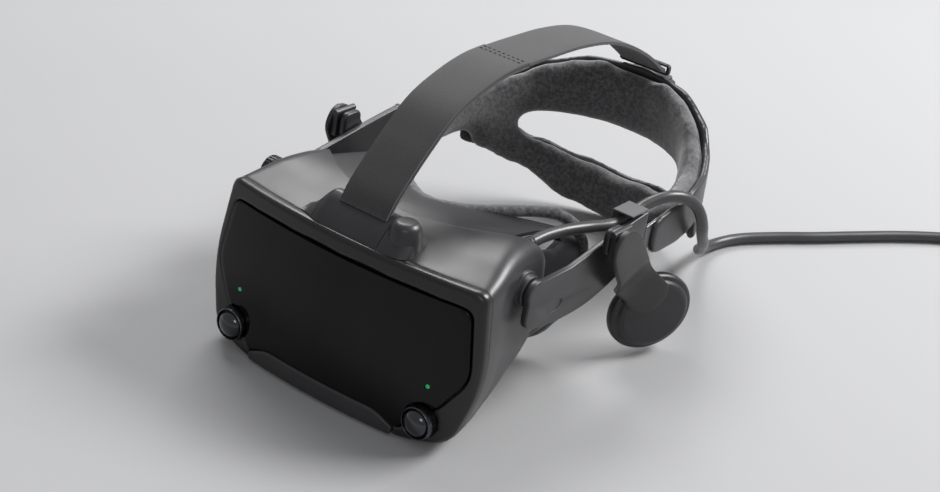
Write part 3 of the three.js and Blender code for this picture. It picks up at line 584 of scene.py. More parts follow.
def skin_columns(rows, inset, first, last, steps=26):
    """Rings of a visor shell whose columns run from depth first(x) to last(x)."""
    depths = [row[0] for row in rows]
    outlines = []
    for _, corners, _ in rows:
        outlines.append(rounded(both_sides(grown(corners, -inset)), 9, 8))
    outlines = np.array(outlines)
    count = outlines.shape[1]
    flat = outlines.reshape(len(rows), -1)
    fine = np.linspace(depths[0], depths[-1], 120)
    at = np.array([hermite(depths, flat, y).reshape(count, 2) for y in fine])
    share = np.array([np.clip(hermite(depths, [[row[2]] for row in rows], y)[0], 0, 1) for y in fine])
    columns = []
    for j in range(count):
        x, z = at[:, j, 0], at[:, j, 1]
        y = fine + share * bow(x, z)
        index = np.arange(len(fine))
        low = np.interp(0, y - first(x), index)
        high = np.interp(0, y - last(x), index)
        picked = np.linspace(low, high, steps)
        columns.append(np.stack([np.interp(picked, index, v) for v in (x, y, z)], axis=1))
    return np.array(columns).transpose(1, 0, 2)


def front_wall(ring, depth):
    """Rings from the square hole behind the plate out to the edge of the front."""
    half_x, half_z, middle_z = FRONT_HOLE
    rings = []
    for share in np.linspace(0, 0.97, 6):
        x, z = ring[:, 0], ring[:, 2] - middle_z
        reach = np.minimum(half_x / np.maximum(abs(x), 1e-6), half_z / np.maximum(abs(z), 1e-6))
        reach = reach + (1 - reach) * share
        rings.append(bowed(np.c_[x * reach, middle_z + z * reach], depth))
    return rings


def rear_circle(radius):
    return lambda x: REAR_CENTRE - np.sqrt(np.maximum(radius**2 - x**2, 1))


def build_housing():
    rear = rear_circle(REAR_RADIUS)
    everywhere = lambda x: np.full(np.shape(x), -60.0)
    outer = skin_columns(HOUSING_ROWS, 0, everywhere, rear)
    deeper = [(HOUSING_FRONT + WALL, *HOUSING_ROWS[0][1:])] + HOUSING_ROWS[1:]
    inner = skin_columns(deeper, WALL, everywhere, rear)
    rings = [*front_wall(outer[0], HOUSING_FRONT), *outer, *inner[::-1]]
    rings += front_wall(inner[0], HOUSING_FRONT + WALL)[::-1]
    housing = skin("visor_shell", rings, closed=True)
    carve(
        housing,
        rod("gland_tool", 5, 40, 90, GLAND_X, GLAND_Z),
        block("slider_tool", -47, -25, 6, 16, -60, -40),
        block("button_tool", 24, 36, 8, 16, -60, -40),
    )
    soften(housing, 0.5, 50, 2)
    dress(housing, "visor", SHELL, ["main_housing"], 50)


def front_tools(name, radius, x, z, sides=64):
    """A pair of round tools through the front."""
    return [rod(name, radius, -40, 20, side * x, z, sides) for _, side in SIDES]


def build_bezel():
    outline = rounded(both_sides(FRONT_OUTLINE), 14, 12)
    angles = np.arctan2(outline[:, 1], outline[:, 0])
    window = rounded(both_sides(grown(PLATE_CORNERS, 0.4)), 10, 10)
    hole = np.c_[np.cos(angles), np.sin(angles)] * radius_at(window, angles)[:, None]
    unit = outline / norm(outline, axis=1)[:, None]
    outer_section = [(0, BEZEL_DEPTH), (0, 2.2), (-0.35, 1.5), (-1.5, 0.35), (-2.2, 0.05)]
    inner_section = [(2.2, 0.0), (1.4, 0.1), (0.5, 0.6), (0, 1.4), (0, BEZEL_DEPTH)]
    outer = [bowed(outline + unit * grow, depth) for grow, depth in outer_section]
    inner = [bowed(hole + unit * grow, depth) for grow, depth in inner_section]
    between = [outer[-1] * (1 - t) + inner[0] * t for t in (0.25, 0.5, 0.75)]
    bezel = skin("front_frame", outer + between + inner, closed=True)
    sill = block("sill_tool", -52.4, 52.4, -40, 20, -60, -38)
    carve(bezel, sill, *front_tools("ring_tool", 10.1, CAMERA_X, CAMERA_Z))
    soften(bezel, 0.35, 40, 2)
    dress(bezel, "visor", BAND, ["front_bezel"], 45)


def build_plate():
    outline = rounded(both_sides(PLATE_CORNERS), 10, 12)
    levels = [(s, 2.0) for s in np.linspace(0.02, 1, 8)]
    levels += [(1, 0.1), (0.9985, -0.25), (0.996, -0.48), (0.992, -0.6)]
    levels += [(s, -0.6) for s in np.linspace(0.965, 0.02, 26)]
    plate = skin("tinted_plate", [bowed(outline * s, y) for s, y in levels])
    rings = front_tools("ring_tool", 10.7, CAMERA_X, CAMERA_Z)
    carve(plate, *rings, *front_tools("light_tool", 1.6, LIGHT_X, LIGHT_Z, 32))
    dress(plate, "faceplate", GLOSS, ["faceplate"], 30)


def build_trim():
    front, edge = -1.4, 1.0
    outline = rounded(both_sides([(39.2, -39, 5), (52, -44.8, 2), (51, -49.3, 1.6)]), 8, 24)
    normal = normals(outline)
    spine = np.c_[outline[:, 0] * 0.98, np.full(len(outline), -44.6)]
    rings = [bowed(outline, BEZEL_DEPTH - 0.2)]
    for t in quarter_turn(5)[::-1]:
        rings.append(bowed(outline - normal * edge * (1 - sin(t)), front + edge * (1 - cos(t))))
    for share in (0.35, 0.7, 1.0):
        rings.append(bowed((outline - normal) * (1 - share) + spine * share, front))
    trim = skin("lower_strip", rings)
    dress(trim, "visor", SHELL, ["lower_trim"], 45)


def build_cameras():
    barrel = filleted([(8.0, 2.0), (8.4, 1.6), (8.9, 0.3), (9.5, 0.9), (9.8, 3.0), (9.8, 11.3)], 0.4)
    barrel = list(barrel) + [(8.1, 11.3), (8.1, 4.2), (8.0, 3.2)]
    dome = [(7.9 * sin(t), 2.6 - 5.0 * cos(t)) for t in quarter_turn(22)]
    bead = [(1.3 * sin(t), -9.9 + 1.3 * (1 - cos(t)) * 0.5) for t in quarter_turn(7)] + [(1.3, -4), (0, -4)]
    for name, side in SIDES:
        centre = (side * CAMERA_X, CAMERA_FRONT, CAMERA_Z)
        ring = lathe(f"{name}_camera_barrel", barrel, centre, closed=True)
        dress(ring, "visor", RING, [f"{name}_camera_ring"], 35)
        glass = lathe(f"{name}_camera_dome", dome + [(7.9, 8), (0, 8)], centre, "y", 64)
        dress(glass, "visor", LENS, [f"{name}_camera_lens"], 50)
        light = lathe(f"{name}_status_bead", bead, (side * LIGHT_X, 0, LIGHT_Z), "y", 32)
        dress(light, "visor", LIGHT, [f"{name}_indicator"], 50)


def build_anchor():
    base = 46.2
    side = [(-6.4, base), (-6.2, 47.2), (-1.5, 52.6), (4.5, 58.2), (9.4, 61.0), (13.4, 60.4), (17, 57.0),
            (17, base)]
    fine = filleted(side, 2.4, 7)
    rings = []
    for x in np.r_[np.linspace(-37, -20, 24), np.linspace(-16, 22, 12), np.linspace(27, 37, 18)]:
        if x < 0:
            rise = np.clip((x + 37) / 15, 0, 1)
            share = 0.12 + 0.88 * rise * rise * (3 - 2 * rise)
        else:
            past = min(1, max(0, x - 27) / 10)
            share = 0.2 + 0.8 * sqrt(1 - past**2.4)
        rings.append([(x, 6 + (y - 6) * (0.55 + 0.45 * share), base + (z - base) * share) for y, z in fine])
    body = skin("brow_block", rings)
    for x in (-27.0, 19.5):
        carve(body, block("seam_tool", x - 0.22, x + 0.22, -12, 20, 47, 68))
    soften(body, 0.3, 42, 2)
    profile = filleted([(0, 62.8), (5.4, 62.6), (8.0, 60.4), (9.0, 55), (10.0, 47)], 2.4, 8)
    boss = lathe("boss", list(profile) + [(0, 47)], (27.5, 7, 0), "z", 56)
    whole = joined("brow_block", body, boss)
    dress(whole, "visor", SHELL, ["strap_anchor"], 40)


def build_hubs():
    steps = [(0, 80), (10.5, 80), (10.5, 84.6), (9.0, 84.7), (8.9, 87.9), (5.4, 87.9), (0, 87.8)]
    for name, side in SIDES:
        profile = [(r, side * x) for r, x in filleted(steps, 0.6)]
        drum = lathe(f"{name}_hub_drum", profile, (0, HUB_Y, HUB_Z), "x", 72)
        dress(drum, "visor", SHELL, [f"{name}_hub_barrel"], 40)


def gasket_line():
    """Foam line seen from behind: over the brow, down the cheeks and ending beside the nose."""
    corners = both_sides([(72.5, 48, 22), (73.5, 2, 20), (58, -29, 14), (36, -38, 10)])
    loop = rounded(corners, 10, 10)
    outline = spaced(np.vstack([loop, loop[:1]]), 181)[1:]
    kept = outline[(outline[:, 1] > 0) | (abs(outline[:, 0]) > 21)]
    start = np.argmin(np.where((kept[:, 1] < 0) & (kept[:, 0] > 0), kept[:, 0], 999))
    if kept[(start + 1) % len(kept)][0] < 0:
        start += 1
    ordered = np.roll(kept, -start, axis=0)
    if ordered[0][0] > 0:
        ordered = ordered[::-1]
    ends = np.array([[-20.0, -31.0], [20.0, -31.0]])
    flat = np.vstack([ends[:1], ordered, ends[1:]])
    line = np.c_[flat[:, 0], face_depth(flat[:, 0]), flat[:, 1]]
    return spaced(smooth_line(spaced(line, 46), 5), 150)


def face_depth(x):
    """Depth of the face pad's edge, which follows the face from brow to temples."""
    return 62 + 28 * (1 - np.cos(pi * np.minimum(np.abs(x), 74) / 74))


def sweep(points, section, outward):
    """Rings of a section (a, b) along points; a points outward, b across it."""
    rings = []
    ahead = np.roll(points, -1, axis=0)
    behind = np.roll(points, 1, axis=0)
    ahead[-1], behind[0] = points[-1], points[0]
    for p, tangent, out in zip(points, ahead - behind, outward):
        tangent = tangent / norm(tangent)
        out = out - tangent * np.dot(out, tangent)
        out = out / norm(out)
        back = np.cross(tangent, out)
        rings.append([p + out * a + back * b for a, b in section])
    return np.array(rings)


def swell(obj, pressure, cap):
    """Runs the cloth of a pad under pressure; no point moves further than cap millimetres."""
    before = np.array([v.co for v in obj.data.vertices])
    settings = modify(obj, "CLOTH").settings
    settings.use_pressure = True
    settings.uniform_pressure_force = pressure
    settings.effector_weights.gravity = 0
    scene = bpy.context.scene
    for number in range(1, 21):
        scene.frame_set(number)
    graph = bpy.context.evaluated_depsgraph_get()
    after = np.array([v.co for v in obj.evaluated_get(graph).data.vertices])
    scene.frame_set(1)
    obj.modifiers.clear()
    move = after - before
    move *= np.minimum(1, cap * MM / np.maximum(norm(move, axis=1), 1e-9))[:, None]
    obj.data.vertices.foreach_set("co", (before + move).ravel())


def padding(obj, pressure, cap):
    """Makes a pad filled fabric: remeshed, swollen and smoothed."""
    modify(obj, "REMESH", mode="VOXEL", voxel_size=4 * MM)
    modify(obj, "SMOOTH", factor=0.5, iterations=14)
    bake(obj)
    swell(obj, pressure, cap)
    modify(obj, "SMOOTH", factor=0.5, iterations=8)
    modify(obj, "SUBSURF", levels=1, render_levels=1)
    bake(obj)


def build_gasket():
    line = gasket_line()
    outward = np.c_[line[:, 0], np.zeros(len(line)), line[:, 2] - 4]
    section = []
    for t in full_turn(28):
        a, b = cos(t), sin(t)
        section.append((5.6 * copysign(abs(a) ** 0.75, a), 6.1 * copysign(abs(b) ** 0.75, b)))
    rings = sweep(line, section, outward)
    for step in range(5):
        scale = sin((step + 0.6) / 5 * pi / 2)
        for ring, centre in ((rings[step], line[step]), (rings[-1 - step], line[-1 - step])):
            ring[:] = centre + (ring - centre) * scale
    foam = skin("face_foam", rings)
    padding(foam, 3.0, 1.2)
    dress(foam, "visor", FOAM, ["face_gasket"], 180)


def build_gasket_frame():
    rows = HOUSING_ROWS[1:5] + [(118, [(76, 42, 14), (77, 2, 20), (64, -26, 14), (40, -37, 10)], 0)]
    front = rear_circle(REAR_RADIUS + 9)
    back = lambda x: face_depth(x) - 4
    outer = skin_columns(rows, WALL + 0.4, front, back, 20)
    inner = skin_columns(rows, WALL + 2.4, front, back, 20)
    frame_piece = skin("face_frame", [*outer, *inner[::-1]], closed=True)
    carve(
        frame_piece,
        block("nose_tool", -24, 24, 18, 140, -80, -20),
        block("cord_tool", GLAND_X - 6, GLAND_X + 6, 30, 96, GLAND_Z - 6, 70),
    )
    soften(frame_piece, 0.4, 50, 2)
    dress(frame_piece, "visor", SATIN, ["gasket_frame"], 50)


def build_gland():
    """Tapered strain relief with shallow grooves."""
    profile = [(0, GLAND_START)]
    for depth in np.linspace(0, GLAND_LENGTH, 81):
        radius = 4.6 - 0.85 * max(0, depth - 8) / 12
        groove = 0.5 if depth > 4 and (depth % 3) < 1.1 else 0.0
        profile.append((radius - groove, GLAND_START + depth))
    profile.append((0, GLAND_START + GLAND_LENGTH))
    gland = lathe("lead_relief", profile, (GLAND_X, 0, GLAND_Z), "y", 48)
    soften(gland, 0.15, 40, 1)
    dress(gland, "visor", JACKET, ["cable_gland"], 60)


def build_optics():
    tube = [(22.4, 57), (22.4, 25), (24.0, 23.4), (24.9, 23.2), (24.9, 22), (24.2, 22), (24, 24), (24, 56.4),
            (23.6, 57)]
    front = [(r, 50 - 3.5 * (r / LENS_RADIUS) ** 2) for r in np.linspace(0, LENS_RADIUS, 20)]
    rear = [(r, 55.4 - 6.8 * (r / LENS_RADIUS) ** 2) for r in np.linspace(LENS_RADIUS, 0, 24)]
    for name, side in SIDES:
        centre = (side * LENS_X, 0, LENS_Z)
        cup = lathe(f"{name}_lens_cup", tube, centre, closed=True)
        soften(cup, 0.3, 40, 2)
        dress(cup, f"{name}_eyetube", SATIN, [f"{name}_eyetube"], 40)
        lens = lathe(f"{name}_eye_optic", front + rear, centre)
        dress(lens, f"{name}_eyetube", EYE_GLASS, [f"{name}_eye_lens"], 40)


# ---- Side arms and speakers ----
# Inner and outer faces of the arms, of their rails and of the stem holders.
ARM_X, RAIL_X, HOLDER_X = (88.5, 92.5), (90.1, 92.3), (92.8, 97.4)
ARM_END = 151
OVAL_Y, OVAL_Z = 62, 21


def on_side(side, faces):
    """Two faces on the left or the right side, the lower one first."""
    return sorted(side * x for x in faces)


def arm_outline():
    """Side view of an arm: round lug at the hub, then low and high edges."""
    low = smooth_line([(36.2, 30), (36.2, 18), (40, 14.2), (60, 10.2), (92, 9.4), (110, 12.4), (131, 18.6),
                       (ARM_END, 24.6)], 8)
    high = smooth_line([(ARM_END, 51.6), (126, 48.4), (103, 45), (71, 39.9), (50, 36.4)], 8)
    turns = np.linspace(radians(55), pi, 20)
    lug = [(HUB_Y + 8 * cos(t), HUB_Z + 8 * sin(t)) for t in turns]
    kept = []
    for point in np.vstack([low, high[:-9], lug]):
        if not kept or norm(point - kept[-1]) > 0.4:
            kept.append(point)
    return np.array(kept)


def build_arms():
    outline = arm_outline()
    t = np.linspace(0, 2 * pi, 40, endpoint=False)
    y, z = spun(7.6 * np.cos(t), 3.4 * np.sin(t), radians(8))
    oval = np.c_[y + OVAL_Y, z + OVAL_Z]
    rise = 38.7 * tan(radians(7.6))
    rail_outline = rounded([(151.3, 25, 2), (190, 25 + rise, 4), (190, 41 + rise, 4), (151.3, 41, 2)], 6, 4)
    for name, side in SIDES:
        arm = slab(f"{name}_arm", outline, *on_side(side, ARM_X), 1.1)
        face = side * ARM_X[1]
        carve(arm, slab("oval_tool", oval, face - 0.45, face + 0.45, 0.05))
        soften(arm, 0.25, 50, 2)
        dress(arm, "headband", SHELL, [f"{name}_side_arm"], 45)
        rail = slab(f"{name}_rail", rail_outline, *on_side(side, RAIL_X), 0.6)
        dress(rail, "headband", STEEL, [f"{name}_slide_rail"], 45)


def build_clip():
    side = [(79.0, 46.5), (80.0, 46.5), (80.0, 53.4), (92.9, 53.4), (93.2, 53.9), (92.9, 54.5), (80, 54.5),
            (79.0, 53.6)]
    clip = slab("lead_clip", side, 131, 148, 0.3, "y")
    soften(clip, 0.4, 40, 3)
    dress(clip, "headband", TAB_PAINTED_LIT, ["cable_clip"], 45)


SPEAKER_AT, SPEAKER_TOE, SPEAKER_STRETCH = (106, 158, -12.5), radians(25), 1.15
SPEAKER_DEPTH, SPEAKER_RADIUS = 10.5, 24.5


def toed(side):
    """Puts a turned speaker piece at the end of its stem."""
    def move(points):
        x, y = spun(points[:, 0], points[:, 1] * SPEAKER_STRETCH, -SPEAKER_TOE)
        return (np.c_[x, y, points[:, 2]] + SPEAKER_AT) * (side, 1, 1)
    return move


def turned_piece(name, profile, side, sides=96):
    rows = [(r, x - SPEAKER_DEPTH) for r, x in profile]
    return lathe(name, rows, (0, 0, 0), "x", sides, warp=toed(side))


def build_speakers():
    """Cups with a stepped back, and cloths over their openings."""
    r, d = SPEAKER_RADIUS, SPEAKER_DEPTH
    outer = filleted([(0, d), (r - 6, d - 0.1), (r - 4, d - 1.2), (r - 3.2, d - 3.0), (r - 1.2, d - 3.4),
                      (r, d - 5), (r, 2.4), (r - 1.3, 0.1)], 1.0, 7)
    inner = filleted([(r - 1.3, 0.1), (r - 3, 0), (r - 3, d - 2.6), (0, d - 2.6)], 0.3, 3)
    reach = r - 3.3
    face = [(0, 0.2)] + [(reach * k / 12, 0.2 + 0.5 * (k / 12) ** 4) for k in range(1, 13)]
    face += [(reach, 1.5), (0, 1.5)]
    for name, side in SIDES:
        shell = turned_piece(f"{name}_speaker_cup", [*outer, *inner[1:]], side)
        dress(shell, f"{name}_speaker", SATIN, [f"{name}_speaker_shell"], 40)
        cloth = turned_piece(f"{name}_speaker_cloth", face, side, 72)
        dress(cloth, f"{name}_speaker", MESH_CLOTH, [f"{name}_speaker_grille"], 60)


STEM_EDGE = [(97, 56.5), (97, 46), (101.5, 35.5), (108, 26), (116.5, 15.5), (134.4, 1)]
STEM_BACK = [(118, 57.6), (123, 51.5), (130.5, 41), (139, 30.5), (148.5, 20), (159.6, 9)]


def stem_sides():
    """Two matching edges of the stem from its top to the tip of its round end."""
    front = spaced(smooth_line(STEM_EDGE, 10), 70)
    back = spaced(smooth_line(STEM_BACK, 10), 70)
    across = back[-1] - front[-1]
    half = norm(across) / 2
    across = across / norm(across)
    onward = np.array([across[1], -across[0]])
    if onward[1] > 0:
        onward = -onward
    centre = (front[-1] + back[-1]) / 2
    ends = []
    for edge, way in ((front, -1), (back, 1)):
        tip = [centre + onward * half * sin(t) * 0.96 + way * across * half * cos(t)
               for t in quarter_turn(12)[1:]]
        ends.append(np.vstack([edge, tip]))
    return ends


def stem_twist(points, side):
    """Turns the lower end of a stem towards the ear, as its speaker is turned."""
    p = np.array(points, float)
    share = np.clip((24 + 0.3 * (p[:, 1] - 108) - p[:, 2]) / 22, 0, 1)
    share = share**2 * (3 - 2 * share)
    ahead = SPEAKER_AT[1] - p[:, 1]
    ahead = np.where(ahead < 20, ahead, 20 + 8 * (1 - np.exp(-(ahead - 20) / 8)))
    p[:, 0] += share * (4.4 - ahead * tan(SPEAKER_TOE))
    p[:, 0] *= side
    return p


def stem_rings():
    """Cross-sections of a stem, with rounded edges and a rounded top."""
    front, back = stem_sides()
    edge, thick, inner_face = 1.1, 3.2, 102
    top = (front[0] + back[0]) / 2
    turns = quarter_turn(5)
    rings = []
    for a, b in zip(front, back):
        middle = (a + b) / 2
        down = min(1, (norm(middle - top) + 0.02) / (norm(b - a) / 2))
        round_top = sqrt(1 - (1 - down) ** 2)
        a, b = middle + (a - b) / 2 * round_top, middle + (b - a) / 2 * round_top
        width = max(norm(b - a), 0.02)
        trim = min(edge, width / 2)
        loop = [(trim * (1 - cos(t)), edge * (1 - sin(t))) for t in turns]
        loop += [(trim + (width - 2 * trim) * share, 0) for share in (0.25, 0.5, 0.75)]
        loop += [(width - trim * (1 - cos(t)), edge * (1 - sin(t))) for t in turns[::-1]]
        loop += [(u, thick - v) for u, v in loop[::-1]]
        rings.append([(inner_face + v, *(a + (b - a) / width * u)) for u, v in loop])
    return np.array(rings)


def build_stems():
    rings = stem_rings()
    for name, side in SIDES:
        stem = skin(f"{name}_stem", stem_twist(rings.reshape(-1, 3), side).reshape(rings.shape))
        dress(stem, f"{name}_speaker", MATTE, [f"{name}_speaker_stem"], 50)
        outline = rectangle(101.5, 117, 40, 55.5, (4, 5))
        holder = slab(f"{name}_stem_holder", outline, *on_side(side, HOLDER_X), 1.6)
        dress(holder, "headband", SATIN, [f"{name}_speaker_mount"], 45)


# ---- Rear cradle ----
# Edges of the bands: (degrees from the back, height).
UPPER_TOP = [(0, 79), (20, 78), (43, 70), (54, 61), (70, 53.5), (90, 49.5), (115, 46.5)]
UPPER_LOW = [(0, 34), (40, 33.5), (55, 29), (66, 22), (90, 18), (115, 18)]
LOWER_TOP = [(0, 1.5), (22, 6), (40, 14), (55, 27), (66, 34), (80, 36)]
LOWER_LOW = [(0, -33.3), (22, -27.5), (50, -6), (64, 5), (80, 15)]
PAD_TOP = [(0, 75.5), (9, 75.8), (15, 79.5), (24, 77.5)] + UPPER_TOP[2:]
CRADLE_Y, CRADLE_ACROSS, CRADLE_ALONG = 185, 86, 100
LOBE_END = 72    # degrees from the back at which the lower band's lobes end
DIAL_AT = (0, 0, 56)


def on_cradle(turn, radial, z):
    """A point of the cradle: degrees from its back, millimetres out from its middle line, and height."""
    side = copysign(1, turn)
    bend = radians(min(abs(turn), 90))
    straight = max(0, abs(turn) - 90)
    reach = radial - 0.0014 * (z - 15) ** 2 * cos(bend)
    return (side * (CRADLE_ACROSS + reach) * sin(bend),
            CRADLE_Y + (CRADLE_ALONG + reach) * cos(bend) - straight, z)


def band_section(r0, r1, z0, z1, edge):
    """Rounded section of a cradle band, its sides divided evenly."""
    soft = max(0.05, min(edge, (r1 - r0) / 2 - 0.05))
    low, high = z0 + soft, z1 - soft
    loop = []
    near, far = r0 + soft, r1 - soft
    for quarter, r, z in ((2, near, low), (3, far, low), (0, far, high), (1, near, high)):
        for t in quarter_turn(5):
            angle = quarter * pi / 2 + t
            loop.append((r + soft * cos(angle), z + soft * sin(angle)))
    full = []
    for i, here in enumerate(loop):
        full += split(here, loop[(i + 1) % len(loop)], 9 if i % 5 == 4 else 1)
    return full


def band(name, low, high, inner, outer, furthest, trim, edge):
    """One arm-to-arm band of the cradle between two heights, its edges and ends rounded."""
    turns = np.arange(-furthest, furthest + 0.01, 2.25)
    tips = furthest - np.array([0, 0.15, 0.5, 1.0, 1.6, 2.6, 4, 6, 8, 10])
    rings = []
    for turn in np.unique(np.round(np.r_[turns, tips, -tips], 3)):
        past = min(1, (furthest - abs(turn)) / edge)
        pull = edge * (1 - sqrt(max(0, 1 - (1 - past) ** 2)))
        nose = max(0, 1 - (furthest - abs(turn)) / 12) if furthest > 90 else 0
        droop = 1 - sqrt(max(0, 1 - nose**2))
        z0 = eased(low, abs(turn)) + trim + pull + 8 * droop
        z1 = eased(high, abs(turn)) - trim - pull - 6 * droop
        section = band_section(inner + pull, outer - pull, z0, z1, edge)
        turn = turn if abs(turn) > 0.01 else 0.01
        rings.append([on_cradle(turn, r, z) for r, z in section])
    return skin(name, rings)


def two_bands(upper_top, inner, outer, furthest, trim, edge):
    """The upper and the lower band of the cradle."""
    return (band("upper", UPPER_LOW, upper_top, inner, outer, furthest, trim, edge),
            band("lower", LOWER_LOW, LOWER_TOP, inner, outer, LOBE_END, trim, edge))


def build_cradle():
    pad = joined("cradle_pad", *two_bands(PAD_TOP, -8.2, 4.4, 116, -0.4, 4.6))
    padding(pad, 4.0, 1.5)
    dress(pad, "cradle", FOAM, ["rear_pad"], 180)

    bands = two_bands(UPPER_TOP, 4.0, 8.8, 117, 1.8, 2.3)
    boss = lathe("boss", [(0, 287), (22, 287), (22, 295.4), (21.2, 296), (0, 296)], DIAL_AT)
    shell = joined("cradle_shell", *bands, boss)
    modify(shell, "REMESH", mode="VOXEL", voxel_size=1.5 * MM)
    modify(shell, "SMOOTH", factor=0.5, iterations=10)
    bake(shell)
    dress(shell, "cradle", SHELL, ["rear_shell"], 60)

    loop = slab("strap_loop", rectangle(-18.6, 18.6, 78.2, 85.2, 2.4, 6, 8), 283.2, 286.6, 0.8, "y")
    carve(loop, block("loop_tool", -16.6, 16.6, 270, 300, 79.8, 83.8))
    soften(loop, 0.3, 45, 2)
    dress(loop, "cradle", SATIN, ["strap_buckle"], 45)


def build_dial():
    outer = [(0, 304.6), (15.5, 304.6), (16.2, 304.0), (17.2, 304.6), (19, 303.6), (19, 297), (18.2, 296.4)]
    profile = filleted(outer + [(4, 296.4), (4, 286), (0, 286)], 0.5, 4)
    dense = []
    for here, onward in zip(profile, profile[1:]):
        dense += split(here, onward, max(1, int(abs(onward[1] - here[1]) / 1.2)))
    dense.append(profile[-1])
    dial = lathe("size_dial", dense, DIAL_AT, "y", 240, ripple=grooves(30, 0.9, 18, 297.2, 304))
    dress(dial, "adjuster_dial", SATIN, ["adjuster_dial"], 35)


# ---- Top strap ----
# Middle line of the strap: (depth, height).
STRAP_LINE = [(5.5, 57.5), (11, 66.2), (20, 76), (36, 91.5), (55, 106.5), (80, 116), (100, 120.3),
              (124, 121.5), (148, 121.3), (177, 120.3), (208, 116), (236, 107), (258, 96.6), (272, 88),
              (281, 82)]
STRAP_HALF = 16.0


def strap_line(start, stop, count=120):
    """Middle line of the strap between two depths, evenly spaced."""
    full = smooth_line(STRAP_LINE, 12)
    at = np.unique(np.r_[start, full[(full[:, 0] > start) & (full[:, 0] < stop)][:, 0], stop])
    return spaced(np.c_[at, np.interp(at, full[:, 0], full[:, 1])], count)


def strap_piece(name, start, stop, low, high):
    """Webbing from y=start to y=stop between two heights off the strap's middle line."""
    line = strap_line(start, stop)
    ahead = np.gradient(line, axis=0)
    normal = np.c_[-ahead[:, 1], ahead[:, 0]]
    normal /= norm(normal, axis=1)[:, None]
    top = [(x * STRAP_HALF, high - 0.35 * abs(x) ** 8) for x in np.linspace(-1, 1, 15)]
    section = top + [(x, low + (high - h)) for x, h in top[::-1]]
    rings = [[(x, *(p + n * h)) for x, h in section] for p, n in zip(line, normal)]
    strap = skin(name, rings)
    run = np.r_[0, np.cumsum(norm(np.diff(line, axis=0), axis=1))]

    def across_and_along(point):
        x, y, z = point - SHIFT
        return x, float(np.interp(spun(y, z, PITCH)[0], line[:, 0], run))

    weave_map(strap, across_and_along)
    return strap


def weave_map(obj, read):
    """Mesh coordinates for the weave, read from each point in table-frame millimetres."""
    layer = obj.data.uv_layers.new(name="weave")
    for loop in obj.data.loops:
        layer.data[loop.index].uv = read(np.array(obj.data.vertices[loop.vertex_index].co) / MM)


def stitch_row(y, height, count, thread=0.28):
    """Short raised threads across the strap."""
    line = spaced(smooth_line(STRAP_LINE, 12), 800)
    i = int(np.argmin(abs(line[:, 0] - y)))
    ahead = line[i + 1] - line[i - 1]
    ahead = ahead / norm(ahead)
    normal = np.array([-ahead[1], ahead[0]])
    turns = full_turn(8)[:, None]
    parts = []
    for x in np.linspace(-13, 13, count):
        rings = []
        for t in np.linspace(0, pi, 7):
            size = thread * (0.35 + 0.65 * sin(t))
            lift = height + sin(t) * 0.2 + size * np.cos(turns)
            flat = line[i] + normal * lift + ahead * size * np.sin(turns)
            rings.append(np.c_[np.full(8, x - cos(t)), flat])
        parts.append(skin("stitch", rings))
    return parts


def build_straps():
    lower = strap_piece("strap_front_lower", 5.4, 120, -2.1, -0.05)
    upper = strap_piece("strap_front_upper", 5.4, 120, 0.05, 2.1)
    rear = strap_piece("strap_rear", 119.8, 283, -1.3, 1.3)
    threads = joined("strap_stitches", *stitch_row(117, 2.1, 9), *stitch_row(113, 2.1, 9))
    for piece in (lower, upper):
        dress(piece, None, STRAP, ["top_strap_front"], 60)
        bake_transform(piece)
    dress(threads, "headband", TAPE_THREAD, [], 60)
    dress(rear, None, STRAP, ["top_strap_rear"], 60)
    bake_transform(rear)


# ---- Tether ----
CORD_ROUTE = [
    (67, -70.6, 91.9), (67.7, -60, 91.9), (70.8, -45, 91.2), (76, -29, 89.6), (82.3, -16, 88.9),
    (84.3, -7, 88.9), (84.4, 2, 89.2), (84.6, 10.5, 90.1), (87.4, 20.5, 93), (92.3, 31, 94.6),
    (97, 41, 92.2), (100.6, 49.5, 86), (102.4, 56, 77), (101.8, 62, 67.5), (99, 69.5, 58),
    (95.8, 79, 48.5), (91, 90, 39.5), (84.5, 101.5, 30.5), (77.3, 114, 21.6), (71, 127.5, 13.7),
    (66.8, 141.5, 7.6), (66, 155, 4.4), (69, 168.5, 3.6), (75.3, 181, 3.6), (84, 192.5, 3.6),
    (94.5, 205, 3.6), (107.5, 219.5, 3.6), (129, 245.5, 3.6), (152, 272, 3.6), (176, 294, 3.6),
    (204, 309.5, 3.6), (235, 317.5, 3.6), (262, 319, 3.6), (276, 317.2, 3.6),
]
COIL_X, COIL_Y = 288, 254.5
CORD_RADIUS = 3.5
TIE_TURN, PLUG_TURN = 200, -20    # degrees round the coil
PLUG_AT = (44, 2, 33.8)


def at_coil(points, turn):
    """Points measured from the middle of the coil, turned about it by degrees."""
    p = np.asarray(points, float)
    x, y = spun(p[:, 0], p[:, 1], radians(turn))
    return np.c_[x + COIL_X, y + COIL_Y, p[:, 2]]


